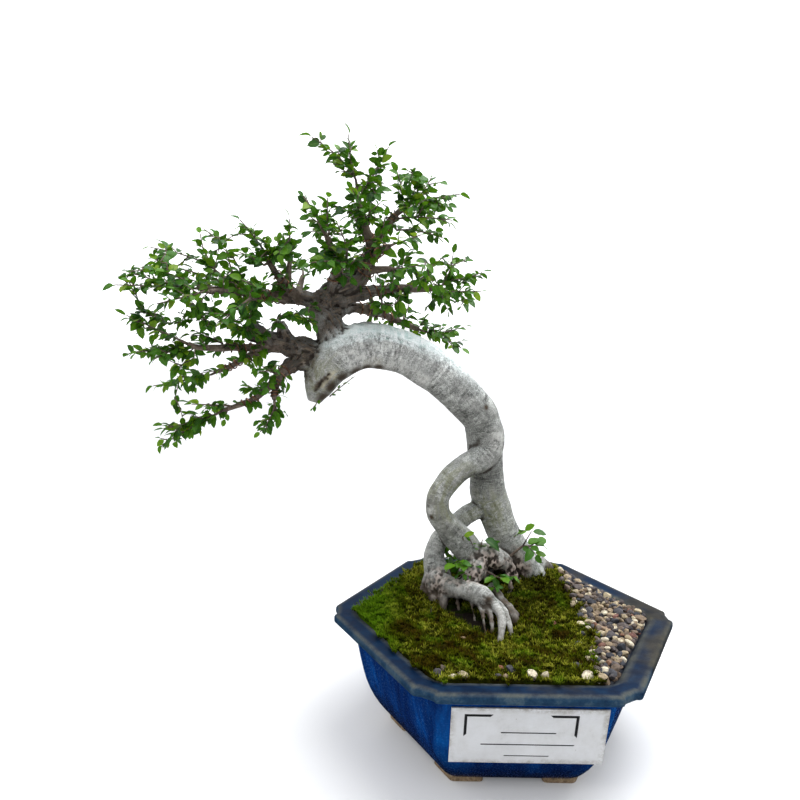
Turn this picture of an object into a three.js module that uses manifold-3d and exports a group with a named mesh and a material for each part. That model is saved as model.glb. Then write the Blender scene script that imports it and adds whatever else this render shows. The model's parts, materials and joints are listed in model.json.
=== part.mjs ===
// Elm bonsai with a looped trunk, growing in a six-sided glazed pot.
// Millimetres, +Z up. The origin is on the table under the middle of the pot, the labelled side faces -Y.
import * as THREE from "three";
import { mergeVertices } from "three/addons/utils/BufferGeometryUtils.js";
import Module from "manifold-3d";

const wasm = await Module();
wasm.setup();

// Clearance between pieces that touch.
const GAP = 0.35;
// How far a cutting shape reaches past what it cuts.
const CUT_ROOM = 5;
// Faces are merged where that moves the surface by less than this.
const WOOD_EASE = 0.35;
const GROUND_EASE = 0.4;

// Pot: every radius is measured to the sharp corner that the eased corner stands in for. cornerDip is how
// much of the cut the middle of an eased corner keeps.
const POT = {
  rimRadius: 150,
  rimTop: 99,
  rimDepth: 8,
  rimEase: 1.4,
  rimCornerCut: 10,
  rimCornerStep: 2.1,
  rimCornerHollow: 0.3,
  cornerDip: 0.27,
  footHeight: 3,
  floorTop: 9,
  drainRadius: 8,
  drainX: 45,
  drainSides: 10,
  footInset: 1.5,
  footReach: 26,
  footWidth: 11,
};
// Outer wall of the pot as height, radius and corner cut.
const POT_OUTSIDE = [
  [3, 95, 4],
  [8, 100, 4],
  [18, 109, 5],
  [30, 116.5, 6],
  [82, 129.5, 7],
  [92, 133, 7],
];
// Inner wall of the pot, from the floor to the lip.
const POT_INSIDE = [
  [9, 89, 7],
  [18, 98, 8],
  [30, 106, 9],
  [82, 119.5, 9],
  [93, 121.5, 10],
  [100, 128.5, 10],
];

// Plate on the front face of the pot.
const PLATE = { width: 113, height: 50.5, thickness: 1.2, centreX: 4.5, centreZ: 55.2 };

// Mesh screens over the drain holes.
const SCREEN = { radius: 13, thickness: 0.8, hole: 4.6, pitch: 6.4, sides: 10 };

// Soil, moss and gravel: the ground is level at the pot's wall and rises over edgeWidth.
const SOIL = { wallLevel: 88, rise: 2, edgeWidth: 17, cell: 26, bottom: 2 };
const MOUNDS = [
  { x: 28, y: 60, height: 15, spread: 36 },
  { x: -18, y: 14, height: 4, spread: 34 },
];
const MOSS = { thickness: 4, bump: 1.2, cell: 16, radius: 119.3, cut: 10 };
const GRAVEL = { thickness: 4, bump: 2, cell: 8 };
// Half sizes of the ground before the pot's wall cuts it, and the heights that its cuts run between.
const GROUND = { halfX: 130, halfY: 114, outside: 160, low: 60, high: 130, slabBottom: 70 };
// Clearance between the soil and what lies on it.
const SOIL_GAP = GAP + 0.2;
// Line between the moss on the left and the gravel on the right, from the back to the front.
const GRAVEL_LINE = [
  [66, 130],
  [64, 96],
  [71, 70],
  [69, 42],
  [77, 14],
  [72, -18],
  [75, -44],
  [63, -70],
  [60, -96],
  [54, -130],
];
const LINE_GAP = 0.6;
// Room that the soil, moss and gravel leave round the roots.
const ROOT_ROOM = 0.8;

// Wood: centre lines chosen by hand, each point as x, y, z and radius.
const TRUNK = [
  [48, 74, 76, 26],
  [40, 70, 104, 23.5],
  [25, 70, 129, 19.5],
  [13, 69, 147, 17.4],
  [4, 68, 164, 17],
  [-3, 67, 180, 17],
  [-8, 65, 204, 16.2],
  [-11, 61, 228, 16.8],
  [-17, 55, 257, 17],
  [-28, 51, 272, 17.4],
  [-43, 47, 287, 18],
  [-59, 43, 301, 18.6],
  [-77, 39, 313, 18.9],
  [-97, 36, 321.5, 19.2],
  [-121, 31, 325, 19.8],
  [-141, 28, 319, 20.6],
  [-155, 26, 306, 18.6],
  [-162, 25, 291, 12.5],
  [-164, 24, 279, 5.5],
];
const LOOP = [
  [2, 60, 236, 11],
  [-8, 53, 227, 13],
  [-20, 49, 221, 12],
  [-34, 42, 217, 11.2],
  [-46, 37, 206, 10.8],
  [-54, 34, 191, 10.4],
  [-53, 34, 175, 10.8],
  [-45, 37, 163, 11.8],
  [-34, 42, 149, 13],
  [-22, 46, 134, 13.2],
  [-10, 48, 118, 12],
];
const CROSS_LEG = [
  [-2, 66, 180, 12],
  [-14, 64, 173, 9.4],
  [-28, 61, 166, 9],
  [-43, 56, 155, 8.5],
  [-53, 52, 145, 8.5],
  [-57, 47, 134, 9.4],
  [-56, 42, 122, 11],
  [-53, 37, 110, 12.8],
  [-51, 32, 97, 12.5],
  [-50, 30, 83, 10],
];
// Swollen root base in front of the trunk.
const ROOT_BASE = [
  [
    [-24, 46, 130, 11],
    [-9, 43, 129, 13.6],
    [6, 45, 125, 13],
    [18, 49, 114, 11.5],
    [25, 54, 98, 10.5],
    [28, 56, 84, 9],
  ],
  [
    [-55, 36, 112, 10],
    [-49, 32, 108, 12.8],
    [-37, 26, 107, 11.6],
    [-26, 18, 106, 10.8],
    [-15, 8, 104, 10.4],
    [-9, 1, 102, 8.6],
  ],
  [
    [-12, 42, 130, 9],
    [-20, 31, 119, 11.6],
    [-28, 23, 107, 9],
  ],
];
const ROOTS = [
  [[-12, 5, 104, 6], [-6, -9, 103, 5.6], [-3, -24, 99, 5], [-1.5, -33, 84, 4.2]],
  [[-8, 6, 107, 5.4], [3, -5, 104, 4.3], [9, -15, 99.5, 3.9], [11, -22, 84, 3.2]],
  [[-17, 6, 101, 4.4], [-14, -10, 98, 3], [-11, -20, 84, 2.5]],
  [[-26, 14, 102, 4], [-23, 0, 98, 3], [-20, -8, 84, 2.4]],
  [[-4, 24, 114, 5.4], [5, 11, 107, 4.7], [11, 3, 101, 5.2], [15, -1, 84, 4.8]],
  [[2, 40, 120, 4], [9, 33, 113, 2.7], [12, 30, 84, 2.3]],
  [[14, 46, 119, 7], [25, 45, 108, 5], [31, 45, 84, 4.2]],
  [[-58, 44, 122, 5], [-66, 35, 108, 3.4], [-65, 27, 84, 2.7]],
  [[-39, 24, 102, 7], [-38, 13, 98, 5.4], [-38, 8, 84, 4.2]],
  [[-52, 32, 106, 8], [-54, 20, 100, 6.2], [-56, 12, 84, 4.4]],
  [[-6, 58, 114, 10], [-24, 76, 105, 7], [-34, 84, 84, 4.8]],
  [[48, 76, 112, 13], [60, 77, 102, 8.6], [64, 77, 84, 5]],
];
const BRANCHES = {
  neck: [
    [-144, 28, 322, 16.5], [-155, 29, 342, 12.8], [-161, 31, 354, 11.3],
    [-157, 33, 365, 10.6], [-150, 35, 372, 8],
  ],
  crown: [
    [-154, 34, 368, 7.4], [-137, 42, 386, 5.2], [-129, 46, 395, 4.6],
    [-118, 52, 411, 4], [-107, 58, 429, 3.4],
    [-97, 60, 441, 2.7], [-87, 64, 449, 2.2],
  ],
  leader: [
    [-148, 35, 370, 7.4], [-127, 32, 382, 6], [-121, 28, 394, 5.2],
    [-120, 22, 409, 4.2], [-124, 16, 424, 3.3],
    [-129, 13, 441, 2.5], [-131, 14, 454, 1.9],
  ],
  upright: [
    [-158, 33, 363, 7], [-151, 26, 378, 4.6], [-147, 20, 391, 3.6],
    [-151, 10, 406, 2.8], [-155, 3, 415, 2.2],
  ],
  upright_front: [[-149, 23, 384, 3.6], [-143, 8, 389, 2.8], [-138, -4, 394, 2.2]],
  leader_front: [[-121, 26, 398, 4], [-112, 14, 403, 3], [-104, 4, 407, 2.3]],
  leader_right: [[-123, 30, 388, 4], [-112, 24, 389, 3], [-102, 21, 390, 2.3]],
  right: [
    [-148, 33, 363, 7], [-119, 44, 371, 4.7], [-97, 50, 374, 4], [-76, 55, 374, 3.2], [-63, 57, 375, 2.5],
  ],
  right_low: [
    [-152, 33, 352, 7], [-134, 48, 357, 4.8], [-112, 64, 352, 3.9], [-90, 77, 343, 3], [-76, 81, 338, 2.4],
  ],
  left_stub: [
    [-158, 27, 312, 13.5], [-177, 28, 320, 11.8], [-186, 26, 322.5, 9],
    [-198, 22, 327, 7.6], [-210, 18, 331, 6.5],
    [-219, 16, 334.5, 5.2], [-225, 14, 339, 3.4],
  ],
  left_long: [
    [-196, 21, 323, 6], [-213, 14, 322, 3.6], [-228, 8, 322.5, 3.1],
    [-243, 1, 322, 2.8], [-256, -4, 322.5, 2.4],
    [-265, -4, 325, 2],
  ],
  left_low: [[-204, 20, 322, 5], [-224, 26, 313, 2.9], [-240, 32, 304, 2.5], [-252, 36, 299, 2]],
  lower: [
    [-170, 26, 312, 9], [-184, 21, 308, 6], [-193, 14, 301, 4], [-202, 7, 290, 3.2], [-214, 1, 280, 2.7],
    [-226, -2, 275.5, 2.3], [-238, -1, 271, 1.9],
  ],
  hanging: [[-193, 13, 301, 3.4], [-197, 9, 288, 2.6], [-197, 6, 280, 2]],
  left: [
    [-158, 31, 355, 9.5], [-170, 33, 362, 7.4], [-182, 36, 364, 5.6],
    [-192, 40, 364, 4.7], [-212, 48, 365, 3.8],
    [-236, 54, 371, 3.1], [-250, 54, 381, 2.4],
  ],
  left_front: [
    [-190, 38, 364, 5], [-206, 24, 366, 3.7], [-226, 11, 368, 3.1], [-246, 6, 370, 2.5], [-258, 6, 370, 2],
  ],
  left_near: [[-206, 24, 366, 3.6], [-208, 0, 364.5, 2.9], [-210, -22, 363, 2.2]],
  left_outer_near: [[-226, 11, 368, 3], [-237, -10, 368, 2.3], [-243, -20, 367.5, 2]],
  left_up: [[-178, 35, 362, 6], [-190, 28, 373, 4], [-198, 20, 384, 3.1], [-203, 18, 393, 2.4]],
  left_rise: [[-190, 29, 372, 3.6], [-189, 31, 385, 2.6], [-188, 31, 395, 2.1]],
  back_left: [[-182, 36, 364, 4.6], [-182, 50, 374, 3], [-181, 60, 383, 2.2]],
  back_far_left: [[-212, 48, 365, 3.6], [-220, 62, 368, 2.7], [-226, 71, 370, 2.1]],
  back_crown: [[-136, 42, 387, 4.6], [-142, 56, 394, 2.8], [-145, 64, 400, 2.1]],
  back_right: [[-112, 64, 352, 3.7], [-118, 73, 360, 2.6], [-121, 80, 366, 2.1]],
};

// Leafy sprays: where the twig leaves the wood, and the tip of each shoot on it.
const SPRAYS = {
  spray_left_top: { base: [-256, 54, 386], tips: [[-316, 32, 405], [-274, 66, 428]] },
  spray_left_top_inner: { base: [-240, 48, 384], tips: [[-242, 27, 411]] },
  spray_left_tip: { base: [-262, 6, 370], tips: [[-329, -14, 371], [-323, 8, 385]] },
  spray_left_near: { base: [-246, -26, 367], tips: [[-285, -44, 355]] },
  spray_left_far: { base: [-250, 62, 376], tips: [[-306, 72, 390]] },
  spray_left_front: { base: [-211, -28, 362], tips: [[-238, -46, 336]] },
  spray_left_mid: { base: [-269, -8, 328], tips: [[-322, -4, 351]] },
  spray_left_mid_low: { base: [-266, 2, 322], tips: [[-330, 24, 313], [-288, -36, 311]] },
  spray_left_low: { base: [-258, 38, 296], tips: [[-321, 50, 282]] },
  spray_left_inner: { base: [-240, 6, 326], tips: [[-272, 22, 338]] },
  spray_low_front: { base: [-232, -8, 276], tips: [[-267, -22, 279]] },
  spray_low_tip: { base: [-243, 0, 268], tips: [[-296, -2, 253], [-302, 20, 232]] },
  spray_low_inner: { base: [-205, -4, 288], tips: [[-216, -27, 299]] },
  spray_low_near: { base: [-194, 0, 303], tips: [[-202, -32, 314]] },
  spray_hanging: { base: [-197, 5, 275], tips: [[-213, -8, 248], [-184, 22, 268]] },
  spray_left_back: { base: [-214, 58, 362], tips: [[-245, 82, 352]] },
  spray_left_mid_front: { base: [-204, -4, 369], tips: [[-221, -34, 380]] },
  spray_left_up: { base: [-206, 17, 399], tips: [[-231, 8, 432]] },
  spray_left_up_front: { base: [-206, 10, 390], tips: [[-228, -14, 401]] },
  spray_left_rise: { base: [-188, 31, 401], tips: [[-188, 26, 438]] },
  spray_upright: { base: [-158, 0, 419], tips: [[-177, -8, 450]] },
  spray_upright_front: { base: [-151, -8, 415], tips: [[-149, -36, 446]] },
  spray_top: { base: [-132, 14, 460], tips: [[-176, 22, 498], [-138, 12, 504]] },
  spray_top_right: { base: [-125, 19, 452], tips: [[-102, 26, 496]] },
  spray_leader_front: { base: [-120, 2, 424], tips: [[-137, -20, 455], [-116, -34, 432]] },
  spray_crown_up: { base: [-94, 61, 449], tips: [[-102, 64, 484]] },
  spray_crown_tip: { base: [-82, 68, 453], tips: [[-65, 86, 482]] },
  spray_crown_right: { base: [-79, 60, 450], tips: [[-37, 46, 456]] },
  spray_crown_near: { base: [-96, 48, 434], tips: [[-44, 26, 430]] },
  spray_crown_back: { base: [-98, 68, 426], tips: [[-48, 92, 420]] },
  spray_front_up: { base: [-137, -8, 400], tips: [[-145, -46, 424]] },
  spray_front: { base: [-140, -10, 392], tips: [[-168, -46, 389]] },
  spray_leader_near: { base: [-99, 0, 409], tips: [[-72, -24, 417]] },
  spray_leader_right: { base: [-96, 20, 390], tips: [[-74, -6, 394]] },
  spray_right_tip: { base: [-58, 62, 377], tips: [[-12, 78, 389], [-47, 60, 416]] },
  spray_right_near: { base: [-62, 48, 373], tips: [[-15, 34, 374], [-58, 26, 361]] },
  spray_right_back: { base: [-90, 86, 350], tips: [[-84, 98, 368]] },
  spray_right_low: { base: [-71, 84, 336], tips: [[-24, 92, 344], [-28, 74, 317]] },
  spray_right_inner: { base: [-110, 42, 364], tips: [[-112, 22, 352]] },
  spray_neck: { base: [-166, 14, 358], tips: [[-166, -16, 349]] },
  spray_back_left: { base: [-181, 64, 387], tips: [[-194, 104, 402]] },
  spray_back_far_left: { base: [-228, 75, 371], tips: [[-256, 99, 366]] },
  spray_back_crown: { base: [-146, 67, 404], tips: [[-154, 104, 424]] },
  spray_back_right: { base: [-122, 84, 369], tips: [[-134, 112, 374]] },
};
// Young shoots from the foot of the trunk and from the roots.
const BASE_SHOOTS = {
  shoot_trunk_foot: { base: [24, 46, 143], tips: [[48, 38, 148]], young: true },
  shoot_loop_foot: { base: [-34, 26, 134], tips: [[-46, 6, 138]], young: true },
  shoot_root_front: { base: [-4, 28, 121], tips: [[6, 4, 128]], young: true },
};
// A twig leaves the wood on a stub. It bends by a share of its length, and takes its place in small steps.
const TWIG = {
  stubRadius: 1.7,
  stubTaper: 0.2,
  stubClear: 4.5,
  start: 0.3,
  clear: 0.2,
  foot: 2.5,
  slide: 0.1,
  radius: 0.95,
  tipRadius: 0.55,
  bend: 0.35,
};
const TWIGLET = { least: 9, most: 14, radius: 0.6, clearFrom: 2.2 };
// A blade is widest between its shoulder and its waist. The shares are parts of its length or half width,
// the last one the part of the blade that a shoot's tip leaf takes from the shoot.
const LEAF = {
  length: 13.5,
  width: 8,
  thickness: 0.9,
  droop: 0.12,
  stalk: 1.6,
  bulge: 0.44,
  shoulder: 0.2,
  shoulderWidth: 0.9,
  keel: 0.3,
  waist: 0.55,
  waistDrop: 0.4,
  keelDrop: 0.2,
  tipShare: 0.8,
};
// What grows on a shoot from its start to its tip, as shares of its length. A short shoot has two leaves.
const SHOOT_NODES = [
  { share: 0.27, twiglet: false },
  { share: 0.45, twiglet: true },
  { share: 0.64, twiglet: false },
  { share: 0.84, twiglet: false },
];
const SHORT_NODES = [
  { share: 0.3, twiglet: false },
  { share: 0.68, twiglet: false },
];
const SHORT_STEM = 18;
// Where a second shoot leaves the first one, and how far it leans along it.
const FORK = { share: 0.1, lean: 0.25 };
// Half the length of the joint that a leaf grows from, and the most of a shoot that it takes.
const NODE = { half: 1.1, mostShare: 0.07 };
// Leaves of the shoots at the foot against the others.
const YOUNG_SIZE = 0.7;
// Leaves keep this much room from the others of their spray, and each is tried at several angles.
const LEAF_ROOM = 0.1;
const LEAF_TRIES = 6;
const SPRAY_TRIES = 200;

// Training wire: the branch it is wound on, the stretch of it as point numbers, and its turns. corner is
// the angle from the middle of a branch's face to its edge, which the wire passes outside of.
const WIRE = { radius: 0.85, clear: 0.3, sides: 3, stepsPerTurn: 8, corner: Math.PI / 8 };
const WIRES = {
  wire_crown: { branch: "crown", from: 1.3, to: 3.1, turns: 4, phase: 0.4 },
  wire_left: { branch: "left_long", from: 1.15, to: 2.7, turns: 4, phase: 2.2 },
  wire_lower: { branch: "lower", from: 3.75, to: 4.8, turns: 3, phase: 1.1 },
  wire_right: { branch: "right", from: 0.75, to: 2.2, turns: 5, phase: 0.2 },
};

const COLOURS = {
  glaze: { color: "#123a7c", roughness: 0.22, metalness: 0 },
  soil: { color: "#3a2c20", roughness: 0.95, metalness: 0 },
  moss: { color: "#5d6f1c", roughness: 0.95, metalness: 0 },
  gravel: { color: "#8d7d6a", roughness: 0.85, metalness: 0 },
  plate: { color: "#d9d8d0", roughness: 0.5, metalness: 0 },
  screen: { color: "#2c2f33", roughness: 0.6, metalness: 0 },
  bark: { color: "#9a978c", roughness: 0.85, metalness: 0 },
  leaf: { color: "#2f6a18", roughness: 0.5, metalness: 0 },
  wire: { color: "#7d4a33", roughness: 0.4, metalness: 0.8 },
};

const tree = new THREE.Group();

function seededRandom(seed) {
  let state = seed >>> 0;
  return () => {
    state = (state + 0x6d2b79f5) >>> 0;
    let t = state;
    t = Math.imul(t ^ (t >>> 15), t | 1);
    t ^= t + Math.imul(t ^ (t >>> 7), t | 61);
    return ((t ^ (t >>> 14)) >>> 0) / 4294967296;
  };
}

function vector(point) {
  return new THREE.Vector3(point[0], point[1], point[2]);
}

// Solids from closed geometries, and back.
function solidOf(geometry) {
  const bare = geometry.clone();
  bare.deleteAttribute("normal");
  bare.deleteAttribute("uv");
  const merged = mergeVertices(bare, 1e-4);
  return new wasm.Manifold(
    new wasm.Mesh({
      numProp: 3,
      vertProperties: new Float32Array(merged.attributes.position.array),
      triVerts: new Uint32Array(merged.index.array),
    }),
  );
}

function geometryOf(solid) {
  const mesh = solid.getMesh();
  const geometry = new THREE.BufferGeometry();
  geometry.setAttribute("position", new THREE.BufferAttribute(new Float32Array(mesh.vertProperties), 3));
  geometry.setIndex(new THREE.BufferAttribute(new Uint32Array(mesh.triVerts), 1));
  geometry.computeVertexNormals();
  return geometry;
}

function joined(solids) {
  return wasm.Manifold.union(solids);
}

// The largest body of a solid: scraps that a cut leaves behind are dropped.
function mainBody(solid) {
  const bodies = solid.decompose();
  return bodies.reduce((best, body) => (body.volume() > best.volume() ? body : best));
}

function addNode(name, solid, material) {
  const mesh = new THREE.Mesh(geometryOf(solid), new THREE.MeshStandardMaterial(material));
  mesh.name = name;
  tree.add(mesh);
  return mesh;
}

// A closed skin over rings that all have the same number of points. Its ends are fans, from the middle of
// the ring, or from one corner where that costs fewer faces.
function loft(rings, fromMiddle = true) {
  const count = rings[0].length;
  const positions = [];
  const index = [];
  rings.forEach((ring) => ring.forEach((p) => positions.push(p.x, p.y, p.z)));
  for (let level = 0; level < rings.length - 1; level += 1) {
    for (let i = 0; i < count; i += 1) {
      const a = level * count + i;
      const b = level * count + ((i + 1) % count);
      index.push(a, b, b + count, a, b + count, a + count);
    }
  }
  const lastRing = (rings.length - 1) * count;
  [rings[0], rings[rings.length - 1]].forEach((ring, end) => {
    if (!fromMiddle) {
      for (let i = 1; i < count - 1; i += 1) {
        if (end === 0) index.push(0, i + 1, i);
        else index.push(lastRing, lastRing + i, lastRing + i + 1);
      }
      return;
    }
    const centre = ring.reduce((sum, p) => sum.add(p), new THREE.Vector3()).divideScalar(count);
    const middle = positions.length / 3;
    positions.push(centre.x, centre.y, centre.z);
    for (let i = 0; i < count; i += 1) {
      const next = (i + 1) % count;
      if (end === 0) index.push(middle, next, i);
      else index.push(middle, lastRing + i, lastRing + next);
    }
  });
  const geometry = new THREE.BufferGeometry();
  geometry.setAttribute("position", new THREE.Float32BufferAttribute(positions, 3));
  geometry.setIndex(index);
  return geometry;
}

// A round rod along points given as x, y, z and radius, with flat ends.
function rod(points, sides, grow = 0) {
  const centres = points.map(vector);
  const last = centres.length - 1;
  const tangents = centres.map((_, i) =>
    new THREE.Vector3().subVectors(centres[Math.min(i + 1, last)], centres[Math.max(i - 1, 0)]).normalize(),
  );
  centres[0].addScaledVector(tangents[0], -grow);
  centres[last].addScaledVector(tangents[last], grow);
  const side = new THREE.Vector3(0, 0, 1);
  if (Math.abs(tangents[0].z) > 0.9) side.set(0, 1, 0);
  const rings = centres.map((centre, i) => {
    side.addScaledVector(tangents[i], -side.dot(tangents[i])).normalize();
    const other = new THREE.Vector3().crossVectors(tangents[i], side);
    return Array.from({ length: sides }, (_, k) => {
      const turn = (2 * Math.PI * k) / sides;
      const radius = points[i][3] + grow;
      return centre
        .clone()
        .addScaledVector(side, radius * Math.cos(turn))
        .addScaledVector(other, radius * Math.sin(turn));
    });
  });
  return loft(rings, false);
}

// Six-sided section with eased corners, at one height.
function hexagon(z, radius, cut) {
  const ring = [];
  for (let k = 0; k < 6; k += 1) {
    const turn = (Math.PI / 3) * k;
    const out = new THREE.Vector3(Math.cos(turn), Math.sin(turn), 0);
    const along = new THREE.Vector3(-Math.sin(turn), Math.cos(turn), 0);
    const half = cut * Math.sin(Math.PI / 3);
    [
      [radius - cut / 2, -half],
      [radius - cut * POT.cornerDip, 0],
      [radius - cut / 2, half],
    ].forEach(([n, t]) => {
      ring.push(new THREE.Vector3(0, 0, z).addScaledVector(out, n).addScaledVector(along, t));
    });
  }
  return ring;
}

// The rim's section: its corners are cut back to small stepped faces.
function rimSection(z, radius) {
  const ring = [];
  const shoulder = POT.rimCornerCut * Math.sin(Math.PI / 3);
  const step = POT.rimCornerStep;
  for (let k = 0; k < 6; k += 1) {
    const turn = (Math.PI / 3) * k;
    const out = new THREE.Vector3(Math.cos(turn), Math.sin(turn), 0);
    const along = new THREE.Vector3(-Math.sin(turn), Math.cos(turn), 0);
    const edge = radius - POT.rimCornerCut / 2;
    [
      [edge, -shoulder],
      [edge - step, step - shoulder],
      [edge - step - POT.rimCornerHollow, 0],
      [edge - step, shoulder - step],
      [edge, shoulder],
    ].forEach(([n, t]) => {
      ring.push(new THREE.Vector3(0, 0, z).addScaledVector(out, n).addScaledVector(along, t));
    });
  }
  return ring;
}

function prism(outline, bottom, top) {
  const shape = new THREE.Shape(outline.map(([x, y]) => new THREE.Vector2(x, y)));
  const geometry = new THREE.ExtrudeGeometry(shape, { depth: top - bottom, bevelEnabled: false });
  geometry.translate(0, 0, bottom);
  return solidOf(geometry);
}

function upright(radius, sides, bottom, top, x = 0, y = 0) {
  const geometry = new THREE.CylinderGeometry(radius, radius, top - bottom, sides);
  geometry.rotateX(Math.PI / 2);
  geometry.translate(x, y, (bottom + top) / 2);
  return solidOf(geometry);
}

function makePot() {
  const body = solidOf(loft(POT_OUTSIDE.map(([z, radius, cut]) => hexagon(z, radius, cut))));
  const low = POT.rimTop - POT.rimDepth;
  const ease = POT.rimEase;
  const rim = solidOf(
    loft([
      rimSection(low, POT.rimRadius - ease),
      rimSection(low + ease, POT.rimRadius),
      rimSection(POT.rimTop - ease, POT.rimRadius),
      rimSection(POT.rimTop, POT.rimRadius - ease),
    ]),
  );
  const hollow = solidOf(loft(POT_INSIDE.map(([z, radius, cut]) => hexagon(z, radius, cut))));
  const [baseHeight, baseRadius, baseCut] = POT_OUTSIDE[0];
  const footRadius = baseRadius - POT.footInset;
  const footTop = baseHeight + 1;
  const footOut = solidOf(loft([0, footTop].map((z) => hexagon(z, footRadius, baseCut))));
  const cutHeights = [-CUT_ROOM, footTop + CUT_ROOM];
  const footIn = solidOf(loft(cutHeights.map((z) => hexagon(z, footRadius - POT.footWidth, baseCut))));
  const corners = [];
  for (let k = 0; k < 6; k += 1) {
    const x = baseRadius * Math.cos((Math.PI / 3) * k);
    const y = baseRadius * Math.sin((Math.PI / 3) * k);
    corners.push(upright(POT.footReach, 6, ...cutHeights, x, y));
  }
  const feet = footOut.subtract(footIn).intersect(joined(corners));
  const drains = [-1, 1].map((side) =>
    upright(POT.drainRadius, POT.drainSides, -CUT_ROOM, POT.floorTop + CUT_ROOM, side * POT.drainX, 0),
  );
  return joined([body, rim, feet]).subtract(hollow).subtract(joined(drains));
}

function makePlate() {
  const [lowZ, lowRadius] = POT_OUTSIDE[3];
  const [highZ, highRadius] = POT_OUTSIDE[4];
  const flat = Math.cos(Math.PI / 6);
  const slope = (flat * (highRadius - lowRadius)) / (highZ - lowZ);
  const lean = Math.atan(slope);
  const faceY = -(flat * lowRadius + slope * (PLATE.centreZ - lowZ));
  const stand = GAP + PLATE.thickness / 2;
  const geometry = new THREE.BoxGeometry(PLATE.width, PLATE.thickness, PLATE.height);
  const plate = new THREE.Mesh(geometry, new THREE.MeshStandardMaterial(COLOURS.plate));
  plate.name = "label_plate";
  plate.rotation.x = lean;
  plate.position.set(PLATE.centreX, faceY - stand * Math.cos(lean), PLATE.centreZ - stand * Math.sin(lean));
  tree.add(plate);
}

function makeScreens() {
  const bottom = POT.floorTop + GAP;
  const top = bottom + SCREEN.thickness;
  [-1, 1].forEach((side) => {
    const x = side * POT.drainX;
    const holes = [];
    for (let i = -0.5; i <= 0.5; i += 1) {
      for (let j = -0.5; j <= 0.5; j += 1) {
        const box = new THREE.BoxGeometry(SCREEN.hole, SCREEN.hole, CUT_ROOM);
        box.translate(x + i * SCREEN.pitch, j * SCREEN.pitch, top);
        holes.push(solidOf(box));
      }
    }
    const disc = upright(SCREEN.radius, SCREEN.sides, bottom, top, x, 0).subtract(joined(holes));
    addNode(side < 0 ? "drain_screen_left" : "drain_screen_right", disc, COLOURS.screen);
  });
  return top;
}

// Distance from a point to the pot's inner wall at soil level.
function wallDistance(x, y) {
  const apothem = POT_INSIDE[4][1] * Math.cos(Math.PI / 6);
  let least = Infinity;
  for (let k = 0; k < 6; k += 1) {
    const turn = Math.PI / 6 + (Math.PI / 3) * k;
    least = Math.min(least, apothem - x * Math.cos(turn) - y * Math.sin(turn));
  }
  return least;
}

function groundLevel(x, y) {
  const edge = THREE.MathUtils.smoothstep(wallDistance(x, y), 0, SOIL.edgeWidth);
  const mound = MOUNDS.reduce((sum, m) => {
    const away = ((x - m.x) ** 2 + (y - m.y) ** 2) / (2 * m.spread ** 2);
    return sum + m.height * Math.exp(-away);
  }, 0);
  return SOIL.wallLevel + edge * (SOIL.rise + mound);
}

// A slab with a flat underside and a top raised by a formula.
function heightSlab(cell, topLevel, bottom) {
  const halfX = cell * Math.ceil(GROUND.halfX / cell);
  const halfY = cell * Math.ceil(GROUND.halfY / cell);
  const nx = Math.round((2 * halfX) / cell);
  const ny = Math.round((2 * halfY) / cell);
  const plane = new THREE.PlaneGeometry(2 * halfX, 2 * halfY, nx, ny);
  const place = plane.attributes.position;
  const positions = [];
  for (let i = 0; i < place.count; i += 1) {
    positions.push(place.getX(i), place.getY(i), topLevel(place.getX(i), place.getY(i), i));
  }
  const index = Array.from(plane.index.array);
  const border = [];
  for (let i = 0; i < nx; i += 1) border.push(ny * (nx + 1) + i);
  for (let j = ny; j > 0; j -= 1) border.push(j * (nx + 1) + nx);
  for (let i = nx; i > 0; i -= 1) border.push(i);
  for (let j = 0; j < ny; j += 1) border.push(j * (nx + 1));
  const first = positions.length / 3;
  border.forEach((v) => positions.push(positions[3 * v], positions[3 * v + 1], bottom));
  const middle = positions.length / 3;
  positions.push(0, 0, bottom);
  border.forEach((v, i) => {
    const next = (i + 1) % border.length;
    index.push(v, first + i, first + next, v, first + next, border[next]);
    index.push(middle, first + next, first + i);
  });
  const geometry = new THREE.BufferGeometry();
  geometry.setAttribute("position", new THREE.Float32BufferAttribute(positions, 3));
  geometry.setIndex(index);
  return solidOf(geometry);
}

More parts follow.
